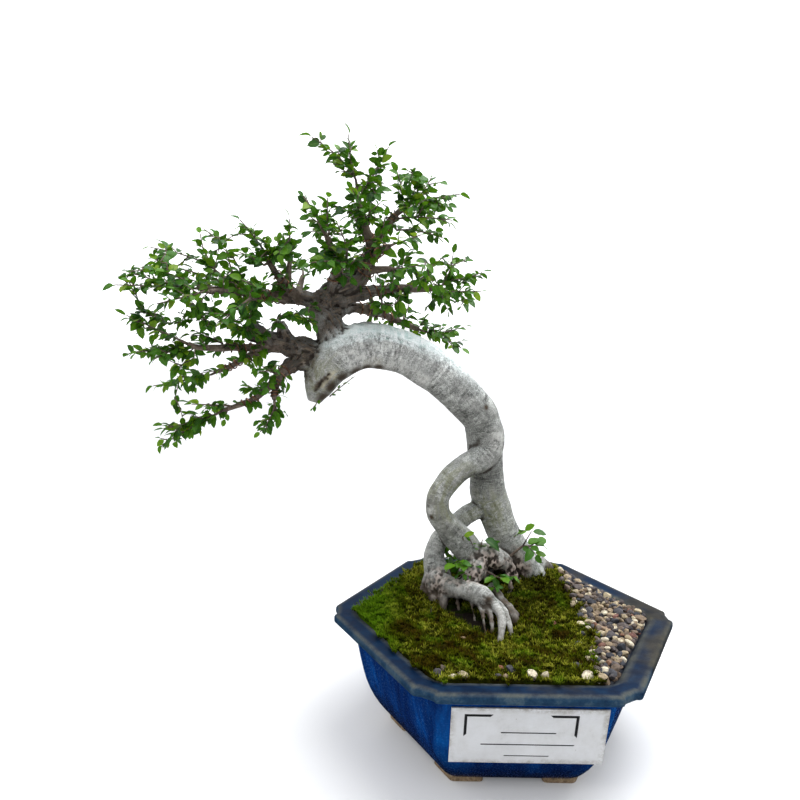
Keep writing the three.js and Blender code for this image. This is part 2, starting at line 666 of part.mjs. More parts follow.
function makeGround(rootHoles, screenTop) {
  const shrink = GAP / Math.cos(Math.PI / 6);
  const cap = (offset) => heightSlab(SOIL.cell, (x, y) => groundLevel(x, y) + offset, SOIL.bottom);
  const walls = POT_INSIDE.slice(1, 5).map(([z, radius, cut]) => hexagon(z, radius - shrink, cut));
  const [, floorRadius, floorCut] = POT_INSIDE[0];
  const base = hexagon(screenTop + GAP, floorRadius + 1, floorCut);
  const filling = solidOf(loft([base, ...walls, hexagon(GROUND.high, MOSS.radius, MOSS.cut)]));
  const soil = filling.intersect(cap(0)).subtract(rootHoles);
  addNode("soil", mainBody(soil.simplify(GROUND_EASE)), COLOURS.soil);

  const bumps = seededRandom(11);
  const raised = heightSlab(
    MOSS.cell,
    (x, y) => groundLevel(x, y) + MOSS.thickness + MOSS.bump * (2 * bumps() - 1),
    GROUND.slabBottom,
  );
  const { outside, low, high } = GROUND;
  const inside = solidOf(loft([low, high].map((z) => hexagon(z, MOSS.radius, MOSS.cut))));
  const ends = [GRAVEL_LINE[GRAVEL_LINE.length - 1][1], GRAVEL_LINE[0][1]];
  const leftSide = [...GRAVEL_LINE.map(([x, y]) => [x - LINE_GAP, y]), ...ends.map((y) => [-outside, y])];
  const underside = cap(SOIL_GAP).add(rootHoles);
  const moss = raised.intersect(inside).intersect(prism(leftSide.reverse(), low, high)).subtract(underside);
  addNode("moss", mainBody(moss.simplify(GROUND_EASE)), COLOURS.moss);

  const stones = seededRandom(29);
  const bed = heightSlab(
    GRAVEL.cell,
    (x, y) => groundLevel(x, y) + GRAVEL.thickness + GRAVEL.bump * (2 * stones() - 1),
    GROUND.slabBottom,
  );
  const rightSide = [...GRAVEL_LINE.map(([x, y]) => [x + LINE_GAP, y]), ...ends.map((y) => [outside, y])];
  const gravel = bed.intersect(inside).intersect(prism(rightSide, low, high)).subtract(underside);
  addNode("gravel", mainBody(gravel.simplify(GROUND_EASE)), COLOURS.gravel);
}

// The nearest point to a place on all the branch centre lines, with the branch radius there.
function nearestOnWood(place, lines) {
  let best = null;
  lines.forEach((line) => {
    for (let i = 0; i < line.length - 1; i += 1) {
      const segment = new THREE.Line3(vector(line[i]), vector(line[i + 1]));
      const t = segment.closestPointToPointParameter(place, true);
      const point = segment.at(t, new THREE.Vector3());
      const radius = THREE.MathUtils.lerp(line[i][3], line[i + 1][3], t);
      const distance = point.distanceTo(place);
      const atEnd = i === line.length - 2 && t > 0.999;
      const ahead = vector(line[i + 1]).sub(vector(line[i])).normalize();
      if (!best || distance < best.distance) best = { point, radius, distance, atEnd, ahead };
    }
  });
  return best;
}

const usedEnds = [];

// Where a spray joins the wood: the end of a short stub, and the direction it points in. A branch end
// leads straight on into the first spray that grows there.
function stubOf(spray, lines) {
  const place = vector(spray.base);
  const heart = spray.tips.map(vector).reduce((sum, p) => sum.add(p), new THREE.Vector3());
  heart.divideScalar(spray.tips.length);
  const near = nearestOnWood(place, lines);
  if (near.atEnd && usedEnds.every((end) => end.distanceTo(near.point) > 0.1)) {
    usedEnds.push(near.point);
    return { points: null, end: near.point, direction: near.ahead };
  }
  const reach = near.radius + TWIG.stubClear;
  if (near.distance < reach) {
    const away = heart.clone().sub(near.point).normalize();
    place.copy(near.point).addScaledVector(away, reach);
  }
  const direction = heart.sub(place).normalize();
  const points = [near.point, place].map((p, i) => [...p.toArray(), TWIG.stubRadius - TWIG.stubTaper * i]);
  return { points, end: place, direction };
}

function makeWood(stubs) {
  const solids = [solidOf(rod(TRUNK, 13)), solidOf(rod(LOOP, 10)), solidOf(rod(CROSS_LEG, 9))];
  ROOT_BASE.forEach((line) => solids.push(solidOf(rod(line, 8))));
  ROOTS.forEach((line) => solids.push(solidOf(rod(line, 5))));
  Object.values(BRANCHES).forEach((line) => {
    const sides = line[1][3] > 8 ? 9 : line[1][3] > 4.4 ? 6 : 4;
    solids.push(solidOf(rod(line, sides)));
  });
  stubs.filter((stub) => stub.points).forEach((stub) => solids.push(solidOf(rod(stub.points, 3))));
  return mainBody(joined(solids).simplify(WOOD_EASE));
}

function makeRootHoles() {
  const lines = [
    [TRUNK.slice(0, 3), 13],
    [LOOP.slice(-2), 10],
    [CROSS_LEG.slice(-4), 9],
    ...ROOT_BASE.map((line) => [line, 8]),
    ...ROOTS.map((line) => [line, 5]),
  ];
  return joined(lines.map(([line, sides]) => solidOf(rod(line, sides, ROOT_ROOM))));
}

// Point, direction and radius at a place along a line of points, counted in points.
function alongLine(line, place) {
  const i = Math.min(Math.floor(place), line.length - 2);
  const t = place - i;
  const point = vector(line[i]).lerp(vector(line[i + 1]), t);
  const direction = vector(line[i + 1]).sub(vector(line[i])).normalize();
  return { point, direction, radius: THREE.MathUtils.lerp(line[i][3], line[i + 1][3], t) };
}

function makeWire(spec) {
  const line = BRANCHES[spec.branch];
  const steps = Math.round(spec.turns * WIRE.stepsPerTurn);
  const points = [];
  for (let i = 0; i <= steps; i += 1) {
    const share = i / steps;
    const { point, direction, radius } = alongLine(line, THREE.MathUtils.lerp(spec.from, spec.to, share));
    const up = new THREE.Vector3(0, 0, 1).addScaledVector(direction, -direction.z).normalize();
    const across = new THREE.Vector3().crossVectors(direction, up);
    const turn = spec.phase + 2 * Math.PI * spec.turns * share;
    const out = radius / Math.cos(WIRE.corner) + WIRE.clear + WIRE.radius;
    point.addScaledVector(up, out * Math.cos(turn)).addScaledVector(across, out * Math.sin(turn));
    points.push([point.x, point.y, point.z, WIRE.radius]);
  }
  return solidOf(rod(points, WIRE.sides));
}

// Turns a direction and a face normal into a frame placed at a point.
function leafFrame(point, direction, normal) {
  const x = direction.clone().normalize();
  const z = normal.clone().addScaledVector(x, -normal.dot(x)).normalize();
  const y = new THREE.Vector3().crossVectors(z, x);
  return new THREE.Matrix4().makeBasis(x, y, z).setPosition(point);
}

// The edge of a blade and its keel: one side, tip, other side, keel. A short stalk comes before it.
function bladePoints(size, room, frame) {
  const length = LEAF.length * size + room;
  const half = LEAF.bulge * LEAF.width * size + room;
  const drop = LEAF.droop * length;
  const start = LEAF.stalk - room;
  const shoulder = start + LEAF.shoulder * length;
  const shoulderHalf = LEAF.shoulderWidth * half;
  const waist = start + LEAF.waist * length;
  const waistHeight = room - LEAF.waistDrop * drop;
  return [
    [shoulder, -shoulderHalf, room],
    [waist, -half, waistHeight],
    [length, 0, room - drop],
    [waist, half, waistHeight],
    [shoulder, shoulderHalf, room],
    [start + LEAF.keel * length, 0, -LEAF.thickness - LEAF.keelDrop * drop - room],
  ].map((p) => vector(p).applyMatrix4(frame));
}

const BLADE_FACES = [0, 1, 3, 0, 3, 4, 1, 2, 3, 5, 1, 0, 5, 2, 1, 5, 3, 2, 5, 4, 3];

// A blade by itself, used to test that the place of a leaf is free.
function bladeSolid(size, room, frame) {
  const geometry = new THREE.BufferGeometry().setFromPoints(bladePoints(size, room, frame));
  geometry.setIndex([...BLADE_FACES, 5, 0, 4]);
  return solidOf(geometry);
}

// One closed skin, grown outwards from loop to loop. Every loop runs anticlockwise about its way out.
class Skin {
  constructor() {
    this.points = [];
    this.index = [];
  }

  loop(points) {
    const first = this.points.length;
    this.points.push(...points);
    return points.map((_, i) => first + i);
  }

  gap(a, b) {
    return this.points[a].distanceTo(this.points[b]);
  }

  // Faces between two loops, shared out evenly, from the turn that keeps their edges shortest.
  bridge(from, to) {
    const turns = to.flatMap((_, start) =>
      [0, 0.5].map((lead) => {
        const faces = [];
        let [i, j, edges] = [0, 0, 0];
        while (i < from.length || j < to.length) {
          const a = from[i % from.length];
          const b = to[(start + j) % to.length];
          if (j === to.length || (i < from.length && (i + lead) * to.length <= j * from.length)) {
            faces.push(a, from[(i + 1) % from.length], b);
            i += 1;
          } else {
            faces.push(a, to[(start + j + 1) % to.length], b);
            j += 1;
          }
          edges += this.gap(from[i % from.length], to[(start + j) % to.length]);
        }
        return { faces, edges };
      }),
    );
    this.index.push(...turns.reduce((best, turn) => (turn.edges < best.edges ? turn : best)).faces);
  }

  // The strip between two equal rings. A face that carries a twig or a leaf is left to it.
  strip(from, to, carried) {
    from.forEach((v, k) => {
      const next = (k + 1) % from.length;
      if (carried.face === k) carried.child([v, from[next], to[next], to[k]]);
      else this.index.push(v, from[next], to[next], v, to[next], to[k]);
    });
  }

  blade(from, size, frame) {
    const shell = this.loop(bladePoints(size, 0, frame));
    this.bridge(from, [shell[4], shell[0], shell[5]]);
    this.index.push(...BLADE_FACES.map((i) => shell[i]));
  }

  // Whether an edge of one face passes through another face.
  crossesItself() {
    const faces = [];
    for (let i = 0; i < this.index.length; i += 3) {
      const corners = this.index.slice(i, i + 3);
      const points = corners.map((v) => this.points[v]);
      faces.push({ corners, points, box: new THREE.Box3().setFromPoints(points) });
    }
    const ray = new THREE.Ray();
    const hit = new THREE.Vector3();
    const pierces = (face, other) =>
      face.corners.some((v, k) => {
        const next = face.corners[(k + 1) % 3];
        if (other.corners.includes(v) || other.corners.includes(next)) return false;
        const length = this.gap(v, next);
        ray.origin.copy(this.points[v]);
        ray.direction.subVectors(this.points[next], this.points[v]).divideScalar(length);
        const found = ray.intersectTriangle(...other.points, false, hit);
        return found !== null && hit.distanceTo(ray.origin) < length;
      });
    return faces.some((face, i) =>
      faces.slice(i + 1).some((other) => {
        if (!face.box.intersectsBox(other.box)) return false;
        return pierces(face, other) || pierces(other, face);
      }),
    );
  }

  geometry() {
    const geometry = new THREE.BufferGeometry().setFromPoints(this.points);
    geometry.setIndex(this.index);
    return geometry;
  }
}

// The three points of a twig's section, one of them on top.
function twigRing(centre, tangent, normal, radius) {
  const frame = leafFrame(centre, tangent, normal);
  return [90, 210, 330].map((degrees) => {
    const turn = THREE.MathUtils.degToRad(degrees);
    return new THREE.Vector3(0, radius * Math.cos(turn), radius * Math.sin(turn)).applyMatrix4(frame);
  });
}

// Solids that a new twig or leaf must stay clear of.
const obstacles = [];

function addObstacle(solid) {
  const box = solid.boundingBox();
  const bounds = new THREE.Box3(new THREE.Vector3(...box.min), new THREE.Vector3(...box.max));
  obstacles.push({ solid, bounds });
}

function isClear(solid) {
  const box = solid.boundingBox();
  const bounds = new THREE.Box3(new THREE.Vector3(...box.min), new THREE.Vector3(...box.max));
  return obstacles.every((other) => {
    if (!other.bounds.intersectsBox(bounds)) return true;
    return other.solid.intersect(solid).isEmpty();
  });
}

function turned(direction, axis, angle) {
  return direction.clone().applyAxisAngle(axis, angle);
}

const UP = new THREE.Vector3(0, 0, 1);

// The upper side of a twig that runs this way, and its front side where it runs straight up.
function upperSide(direction) {
  const upper = Math.abs(direction.z) > 0.9 ? new THREE.Vector3(0, -1, 0) : UP.clone();
  return upper.addScaledVector(direction, -upper.dot(direction)).normalize();
}

// One try at a leafy spray. Gives null where a shoot finds no free way to its tip.
function growSpray(spray, stub, start, seed) {
  const random = seededRandom(seed);
  const between = (low, high) => low + (high - low) * random();
  const sizeOfLeaf = (low) => between(low, 1.1) * (spray.young ? YOUNG_SIZE : 1);
  const skin = new Skin();
  const own = [];
  const isFree = (solid) => own.every((other) => other.intersect(solid).isEmpty());

  // A blade with a place of its own, or null if that is taken.
  function leafAt(point, direction, size) {
    const normal = new THREE.Vector3(between(-0.65, 0.65), between(-0.85, 0.45), 1);
    if (Math.abs(normal.dot(direction)) > 0.8 * normal.length()) normal.set(between(-1, 1), -1, 0.3);
    const frame = leafFrame(point, direction, normal);
    const blade = bladeSolid(size, LEAF_ROOM, frame);
    if (!isFree(blade) || !isClear(bladeSolid(size, GAP, frame))) return null;
    return { blade, size, frame };
  }

  // The way a side leaf or twiglet grows from a shoot, to the left if side is 1.
  function sideways(side, direction, upper, angle) {
    const tilt = new THREE.Vector3(between(-0.4, 0.4), between(-0.4, 0.4), 0);
    return turned(direction, tilt.add(upper).normalize(), side * angle).normalize();
  }

  function sideLeaf(side, point, direction, upper) {
    const grows = sideways(side, direction, upper, between(0.9, 1.3));
    const leaf = leafAt(point, grows, sizeOfLeaf(0.85));
    if (!leaf) return null;
    own.push(leaf.blade);
    return (face) => skin.blade(face, leaf.size, leaf.frame);
  }

  // A short twig with a blade at its end.
  function sideTwiglet(side, point, direction, upper) {
    const grows = sideways(side, direction, upper, between(0.85, 1.2));
    const end = point.clone().addScaledVector(grows, between(TWIGLET.least, TWIGLET.most));
    const near = point.clone().addScaledVector(grows, TWIGLET.clearFrom);
    const line = [near, end].map((p) => [...p.toArray(), TWIGLET.radius]);
    const leaf = leafAt(end, grows, sizeOfLeaf(0.85));
    const twig = solidOf(rod(line, 3));
    if (!leaf || !isFree(twig) || !isClear(solidOf(rod(line, 3, GAP)))) return null;
    own.push(twig, leaf.blade);
    return (face) => {
      const ring = skin.loop(twigRing(end, grows, upperSide(grows), TWIGLET.radius));
      skin.bridge(face, ring);
      skin.blade(ring, leaf.size, leaf.frame);
    };
  }

  // The course of a shoot from a start to a tip, with what grows on it.
  function planShoot(from, heading, tip, freeFrom, tries) {
    const length = tip.distanceTo(from);
    const upper = upperSide(tip.clone().sub(from).normalize());
    const stem = 1 - (LEAF.tipShare * LEAF.length) / length;
    const sway = new THREE.Vector3(between(-1, 1), between(-1, 1), between(-1, 1)).multiplyScalar(tries);
    const control = from.clone().addScaledVector(heading, TWIG.bend * length).add(sway);
    const curve = new THREE.QuadraticBezierCurve3(from, control, tip);
    const at = (share) => ({
      centre: curve.getPoint(share * stem),
      tangent: curve.getTangent(share * stem),
      radius: THREE.MathUtils.lerp(TWIG.radius, TWIG.tipRadius, share),
    });
    const line = [freeFrom, 0.25, 0.5, 0.75, 1].map(at).map((r) => [...r.centre.toArray(), r.radius]);
    const end = at(1);
    const leaf = leafAt(end.centre, end.tangent, sizeOfLeaf(0.9));
    const bare = solidOf(rod(line, 3));
    if (!leaf || !isFree(bare) || !isClear(solidOf(rod(line, 3, TWIG.clear)))) return null;
    own.push(bare, leaf.blade);
    const nodes = [];
    let side = random() < 0.5 ? -1 : 1;
    (length * stem < SHORT_STEM ? SHORT_NODES : SHOOT_NODES).forEach(({ share, twiglet }) => {
      const { centre, tangent } = at(share);
      let child = null;
      for (let i = 0; i < LEAF_TRIES && !child; i += 1) {
        child = (twiglet ? sideTwiglet : sideLeaf)(side, centre, tangent, upper);
      }
      if (child) nodes.push({ share, face: side > 0 ? 2 : 0, child });
      side = -side;
    });
    return { at, nodes, leaf, upper, half: Math.min(NODE.half / (length * stem), NODE.mostShare) };
  }

  function growShoot({ at, nodes, leaf, upper, half }, face) {
    const rings = nodes.flatMap((node) => [
      { ...node, share: node.share - half },
      { share: node.share + half },
    ]);
    if (!face) rings.unshift({ share: 0 });
    rings.push({ share: 1 });
    const loops = rings.map(({ share }) => {
      const { centre, tangent, radius } = at(share);
      return skin.loop(twigRing(centre, tangent, upper, radius));
    });
    if (face) skin.bridge(face, loops[0]);
    else skin.index.push(loops[0][0], loops[0][2], loops[0][1]);
    loops.slice(1).forEach((loop, i) => skin.strip(loops[i], loop, rings[i]));
    skin.blade(loops[loops.length - 1], leaf.size, leaf.frame);
  }

  const [firstTip, secondTip] = spray.tips.map(vector);
  const tries = (seed % 1000) / 25;
  const main = planShoot(start, stub.direction, firstTip, 0.4 / firstTip.distanceTo(start), tries);
  if (!main) return null;
  if (secondTip) {
    const { centre, tangent } = main.at(FORK.share);
    const towards = secondTip.clone().sub(centre).normalize();
    const leftwards = new THREE.Vector3().crossVectors(main.upper, tangent).dot(towards) > 0;
    const heading = towards.addScaledVector(tangent, FORK.lean).normalize();
    const second = planShoot(centre, heading, secondTip, 0.25, tries);
    if (!second) return null;
    const child = (face) => growShoot(second, face);
    main.nodes.unshift({ share: FORK.share, face: leftwards ? 2 : 0, child });
  }
  growShoot(main, null);
  return skin.crossesItself() ? null : skin;
}

function makeSpray(spray, stub, number) {
  // The twig starts as near to the wood as it can.
  const start = stub.end.clone();
  const foot = () => [start, start.clone().addScaledVector(stub.direction, TWIG.foot)];
  const footRod = () => rod(foot().map((p) => [...p.toArray(), TWIG.radius]), 3, TWIG.start);
  while (!isClear(solidOf(footRod()))) start.addScaledVector(stub.direction, TWIG.slide);
  for (let tries = 0; tries < SPRAY_TRIES; tries += 1) {
    const skin = growSpray(spray, stub, start, 1000 * number + tries);
    if (skin) return solidOf(skin.geometry());
  }
  throw new Error("a spray finds no free way to its tips");
}

const woodLines = [TRUNK, LOOP, CROSS_LEG, ...ROOT_BASE, ...Object.values(BRANCHES)];
const branchLines = Object.values(BRANCHES);
const stubs = new Map();
Object.entries(SPRAYS).forEach(([name, spray]) => stubs.set(name, stubOf(spray, branchLines)));
Object.entries(BASE_SHOOTS).forEach(([name, shoot]) => stubs.set(name, stubOf(shoot, woodLines)));

addNode("pot", makePot(), COLOURS.glaze);
makePlate();
const screenTop = makeScreens();
makeGround(makeRootHoles(), screenTop);

const wood = makeWood([...stubs.values()]);
addNode("elm_wood", wood, COLOURS.bark);
addObstacle(wood);
tree.children.filter((mesh) => ["moss", "gravel"].includes(mesh.name)).forEach((mesh) => {
  addObstacle(solidOf(mesh.geometry));
});

Object.entries(WIRES).forEach(([name, spec]) => {
  const wire = makeWire(spec);
  addNode(name, wire, COLOURS.wire);
  addObstacle(wire);
});

Object.entries({ ...SPRAYS, ...BASE_SHOOTS }).forEach(([name, spray], i) => {
  const foliage = makeSpray(spray, stubs.get(name), 101 + i);
  addNode(name, foliage, COLOURS.leaf);
  addObstacle(foliage);
});

export default tree;
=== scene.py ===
"""Elm bonsai with a looped trunk in a six-sided glazed pot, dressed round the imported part."""
import json
import math
import random

import bmesh
import bpy
import numpy as np
from mathutils import Matrix, Quaternion, Vector, kdtree, noise

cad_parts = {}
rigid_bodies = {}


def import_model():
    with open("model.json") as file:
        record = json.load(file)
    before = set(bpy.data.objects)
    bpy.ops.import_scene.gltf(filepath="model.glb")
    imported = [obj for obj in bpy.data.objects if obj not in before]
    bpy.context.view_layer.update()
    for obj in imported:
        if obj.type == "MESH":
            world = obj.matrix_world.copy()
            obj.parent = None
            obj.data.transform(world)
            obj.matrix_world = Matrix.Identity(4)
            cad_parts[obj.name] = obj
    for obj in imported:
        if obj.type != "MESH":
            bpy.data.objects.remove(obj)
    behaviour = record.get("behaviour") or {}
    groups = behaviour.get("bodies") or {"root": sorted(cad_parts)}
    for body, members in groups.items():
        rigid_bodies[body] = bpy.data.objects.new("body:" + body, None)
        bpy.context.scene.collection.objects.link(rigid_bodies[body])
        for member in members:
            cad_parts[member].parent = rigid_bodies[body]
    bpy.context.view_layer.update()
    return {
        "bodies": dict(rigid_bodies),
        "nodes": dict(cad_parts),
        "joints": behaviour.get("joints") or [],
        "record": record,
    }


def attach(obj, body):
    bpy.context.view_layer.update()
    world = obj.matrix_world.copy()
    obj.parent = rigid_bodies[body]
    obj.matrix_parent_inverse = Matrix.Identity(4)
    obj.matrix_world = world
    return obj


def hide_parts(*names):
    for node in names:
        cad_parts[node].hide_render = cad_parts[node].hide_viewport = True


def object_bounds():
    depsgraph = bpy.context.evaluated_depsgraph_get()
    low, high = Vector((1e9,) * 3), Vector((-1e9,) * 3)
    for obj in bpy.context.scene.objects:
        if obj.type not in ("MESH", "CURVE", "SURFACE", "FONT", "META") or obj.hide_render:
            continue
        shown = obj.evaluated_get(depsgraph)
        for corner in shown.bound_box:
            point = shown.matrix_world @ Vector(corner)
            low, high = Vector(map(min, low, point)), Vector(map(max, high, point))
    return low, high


MM = 0.001
UP = Vector((0, 0, 1))

# Camera: place in millimetres, turns in degrees, lens and sensor in millimetres.
CAMERA = {
    "place": (-96.8, -573.1, 363.3), "yaw": 0.44, "pitch": 8.02, "roll": 1.27, "lens": 31.53, "sensor": 36,
}

# Wood: centre lines in millimetres, each point as x, y, z and radius.
TRUNK = [
    [44, 74, 76, 25], [33, 71, 104, 20.8], [20.5, 70, 126, 17.8], [9.5, 69, 147, 15.6],
    [2.2, 68, 164, 15.6], [-4.5, 67, 180, 17], [-8, 66, 190, 17], [-9.2, 65, 204, 15.8],
    [-12.2, 61, 228, 16.2], [-17, 55, 257, 17], [-28, 51, 272, 17.4], [-43, 47, 287, 18],
    [-59, 43, 301, 18.6], [-77, 39, 313, 18.9], [-97, 36, 321.5, 19.2], [-121, 31, 325, 19.8],
    [-141, 28, 319, 20.6], [-155, 26, 306, 18.6], [-162, 25, 290, 13], [-166, 24, 276, 5.5],
]
LOOP = [
    [-17, 52, 264, 12.5], [-11, 52, 247, 14], [-11, 51, 233, 14], [-20, 47, 223, 12.6],
    [-35, 41, 216.5, 11.2], [-47.5, 37, 205, 10.8], [-56, 34, 191, 10.4], [-55, 34, 175, 10.8],
    [-46.5, 37, 163, 11.8], [-35, 42, 149, 13], [-23, 46, 134, 13.2], [-10, 48, 118, 12],
]
CROSS_LEG = [
    [-2, 66, 180, 12], [-14, 64, 173, 9.4], [-28, 61, 166, 9], [-43, 56, 155, 8.5], [-53, 52, 145, 8.5],
    [-57, 47, 134, 9.4], [-56, 42, 122, 11], [-53, 37, 110, 12.8], [-51, 32, 97, 12.5], [-50, 30, 83, 10],
]
ROOT_BASE = [
    [[-24, 46, 134, 10], [-12, 44, 134, 12], [-2, 45, 131, 11], [7, 48, 127, 8.5], [12, 50, 121, 6.5],
     [15, 51, 110, 5], [16, 52, 98, 4.5], [16, 52, 86, 4]],
    [[-57, 38, 119, 10], [-54, 33, 112, 11.5], [-44, 25, 111.5, 9.4], [-34, 18, 112, 8.4],
     [-25, 11, 112.5, 8.4], [-17, 4, 111, 9.3], [-10, -1, 108.5, 6.5]],
    [[-12, 43, 133, 10], [-19, 35, 126, 10.5], [-26, 26, 117, 9], [-28, 20, 112, 6]],
]
ROOTS = [
    [[-15, 6, 108, 6.5], [-8.5, -4, 108, 4.2], [-5, -14, 106, 3.3], [-4.2, -24, 104, 3.1],
     [-6, -36, 100.5, 3], [-8.5, -45, 93, 2.8]],
    [[-10, 6, 108, 4.5], [-3.5, -1, 107.5, 2.8], [0.5, -10, 105, 2.3], [1.8, -20, 103, 2.2],
     [2, -30, 100, 2.1], [3, -36, 93, 2]],
    [[-20, 3, 106, 3], [-19, -8, 103, 1.7], [-18.5, -18, 100, 1.4], [-17, -27, 90, 1.4]],
    [[-15, -2, 105, 3], [-12.5, -14, 103, 1.9], [-12.5, -26, 100, 1.5], [-12, -32, 91, 1.4]],
    [[-25, 9, 107, 2.6], [-26, 2, 102, 1.5], [-25, -4, 98, 1.4], [-23, -8, 88, 1.4]],
    [[-36, 21, 107, 2.6], [-37, 17, 102, 1.5], [-36, 13, 97, 1.4], [-36, 11, 88, 1.4]],
    [[-8, 24, 112, 6], [-3, 16, 109.5, 4.4], [1, 8, 106.5, 3.6], [6, 0, 104, 3.6], [8.5, -8, 101, 4],
     [9.5, -15, 92, 3.5]],
    [[8, 46, 124, 4], [9.5, 43, 119, 2.1], [12, 37, 112, 1.8], [12.5, 32, 107, 1.7], [9, 27, 101, 1.7],
     [8, 25, 90, 1.6]],
    [[13, 50, 122, 5], [17, 49, 116, 3], [21, 50, 108, 2.5], [24, 54, 100, 2.3], [25, 55, 88, 2.2]],
    [[-58, 44, 122, 5], [-66, 35, 108, 3.4], [-65, 27, 84, 2.7]],
    [[-53, 29, 107, 7], [-51, 22, 103, 4.4], [-50, 17, 98.5, 3.2], [-49.5, 15, 88, 2.6]],
    [[-6, 58, 114, 10], [-24, 76, 105, 7], [-34, 84, 84, 4.8]],
    [[44, 76, 110, 13], [57, 78, 101, 8.6], [62, 78, 84, 5]],
]
BRANCHES = {
    "snag": [[-184, 26, 322, 8], [-190, 24, 332, 5.4], [-193, 21, 340, 4.4], [-194, 20, 344, 3]],
    "snag_left": [[-204, 20, 328, 6.5], [-211, 15, 336, 4.8], [-217, 12, 342, 4.4], [-219, 11, 345, 3]],
    "neck": [[-144, 28, 322, 16.5], [-155, 29, 342, 12.8], [-161, 31, 354, 11.3], [-157, 33, 365, 10.6],
             [-150, 35, 372, 8]],
    "crown": [[-154, 34, 368, 7.4], [-137, 42, 386, 5.2], [-129, 46, 395, 4.6], [-118, 52, 411, 4],
              [-107, 58, 429, 3.4], [-97, 60, 441, 2.7], [-87, 64, 449, 2.2]],
    "leader": [[-148, 35, 370, 7.4], [-127, 32, 382, 6], [-121, 28, 394, 5.2], [-120, 22, 409, 4.2],
               [-124, 16, 424, 3.3], [-129, 13, 441, 2.5], [-131, 14, 454, 1.9]],
    "upright": [[-158, 33, 363, 7], [-151, 26, 378, 4.6], [-147, 20, 391, 3.6], [-151, 10, 406, 2.8],
                [-155, 3, 415, 2.2]],
    "upright_front": [[-149, 23, 384, 3.6], [-143, 8, 389, 2.8], [-138, -4, 394, 2.2]],
    "leader_front": [[-121, 26, 398, 4], [-112, 14, 403, 3], [-104, 4, 407, 2.3]],
    "leader_right": [[-123, 30, 388, 4], [-112, 24, 389, 3], [-102, 21, 390, 2.3]],
    "right": [[-148, 33, 363, 7], [-119, 44, 371, 4.7], [-97, 50, 374, 4], [-76, 55, 374, 3.2],
              [-63, 57, 375, 2.5]],
    "right_low": [[-152, 33, 352, 7], [-134, 48, 357, 4.8], [-112, 64, 352, 3.9], [-90, 77, 343, 3],
                  [-76, 81, 338, 2.4]],
    "left_stub": [[-158, 27, 312, 13.5], [-177, 28, 320, 11.8], [-186, 26, 322.5, 9], [-198, 22, 327, 7.6],
                  [-210, 18, 331, 6.5], [-219, 16, 334.5, 5.2], [-225, 14, 339, 3.4]],
    "left_long": [[-196, 21, 323, 6], [-213, 14, 322, 3.6], [-228, 8, 322.5, 3.1], [-243, 1, 322, 2.8],
                  [-256, -4, 322.5, 2.4], [-265, -4, 325, 2]],
    "left_low": [[-204, 20, 322, 5], [-224, 26, 313, 2.9], [-240, 32, 304, 2.5], [-252, 36, 299, 2]],
    "lower": [[-170, 26, 312, 9], [-184, 21, 308, 6], [-193, 14, 301, 4], [-202, 7, 290, 3.2],
              [-214, 1, 280, 2.7], [-226, -2, 275.5, 2.3], [-238, -1, 271, 1.9]],
    "hanging": [[-193, 13, 301, 3.4], [-197, 9, 288, 2.6], [-197, 6, 280, 2]],
    "left": [[-158, 31, 355, 9.5], [-170, 33, 362, 7.4], [-182, 36, 364, 5.6], [-192, 40, 364, 4.7],
             [-212, 48, 365, 3.8], [-236, 54, 371, 3.1], [-250, 54, 381, 2.4]],
    "left_front": [[-190, 38, 364, 5], [-206, 24, 366, 3.7], [-226, 11, 368, 3.1], [-246, 6, 370, 2.5],
                   [-258, 6, 370, 2]],
    "left_near": [[-206, 24, 366, 3.6], [-208, 0, 364.5, 2.9], [-210, -22, 363, 2.2]],
    "left_outer_near": [[-226, 11, 368, 3], [-237, -10, 368, 2.3], [-243, -20, 367.5, 2]],
    "left_up": [[-178, 35, 362, 6], [-190, 28, 373, 4], [-198, 20, 384, 3.1], [-203, 18, 393, 2.4]],
    "left_rise": [[-190, 29, 372, 3.6], [-189, 31, 385, 2.6], [-188, 31, 395, 2.1]],
    "back_left": [[-182, 36, 364, 4.6], [-182, 50, 374, 3], [-181, 60, 383, 2.2]],
    "back_far_left": [[-212, 48, 365, 3.6], [-220, 62, 368, 2.7], [-226, 71, 370, 2.1]],
    "back_crown": [[-136, 42, 387, 4.6], [-142, 56, 394, 2.8], [-145, 64, 400, 2.1]],
    "back_right": [[-112, 64, 352, 3.7], [-118, 73, 360, 2.6], [-121, 80, 366, 2.1]],
}
# Branches with a radius under this are drawn as fine tubes instead of being part of the trunk's skin.
FINE_BRANCH = 4.3
# How many sides each kind of tube has.
SIDES = {"wood": 20, "branch": 9, "foot": 6, "twig": 5, "stalk": 3, "wire": 8, "drain": 40}
FINE = {"seed": 9, "wobble": 0.5, "wobble_scale": 9, "swell": 0.16, "swell_scale": 4, "least": 0.8}
BARK = {
    "voxel": 1.26, "easing": 4, "lump": 0.9, "lump_scale": 17, "streak": 0.25, "fibre": 1.9,
    "groove": 1.2, "knob": 4.2, "knob_scale": 8, "pore": 4.6, "pore_scale": 4, "pore_reach": 0.42,
    "pit": 0.2, "pit_scale": 4.2, "foot_pit": 0.6, "brown_pit": 0.8, "ragged": 0.35, "ragged_scale": 7,
}
# Noises drawn out along the limb: cell along it and across it, roughness, lacunarity and octaves.
STREAKS = (26, 5, 0.8, 2.1, 3)
FIBRES = (14, 3.2, 0.7, 2.2, 3)

# Creases darkened with painted shade: how many rings of points they are measured over, and the depth of a
# full one.
CREASE = {"spread": 12, "depth": 0.6}

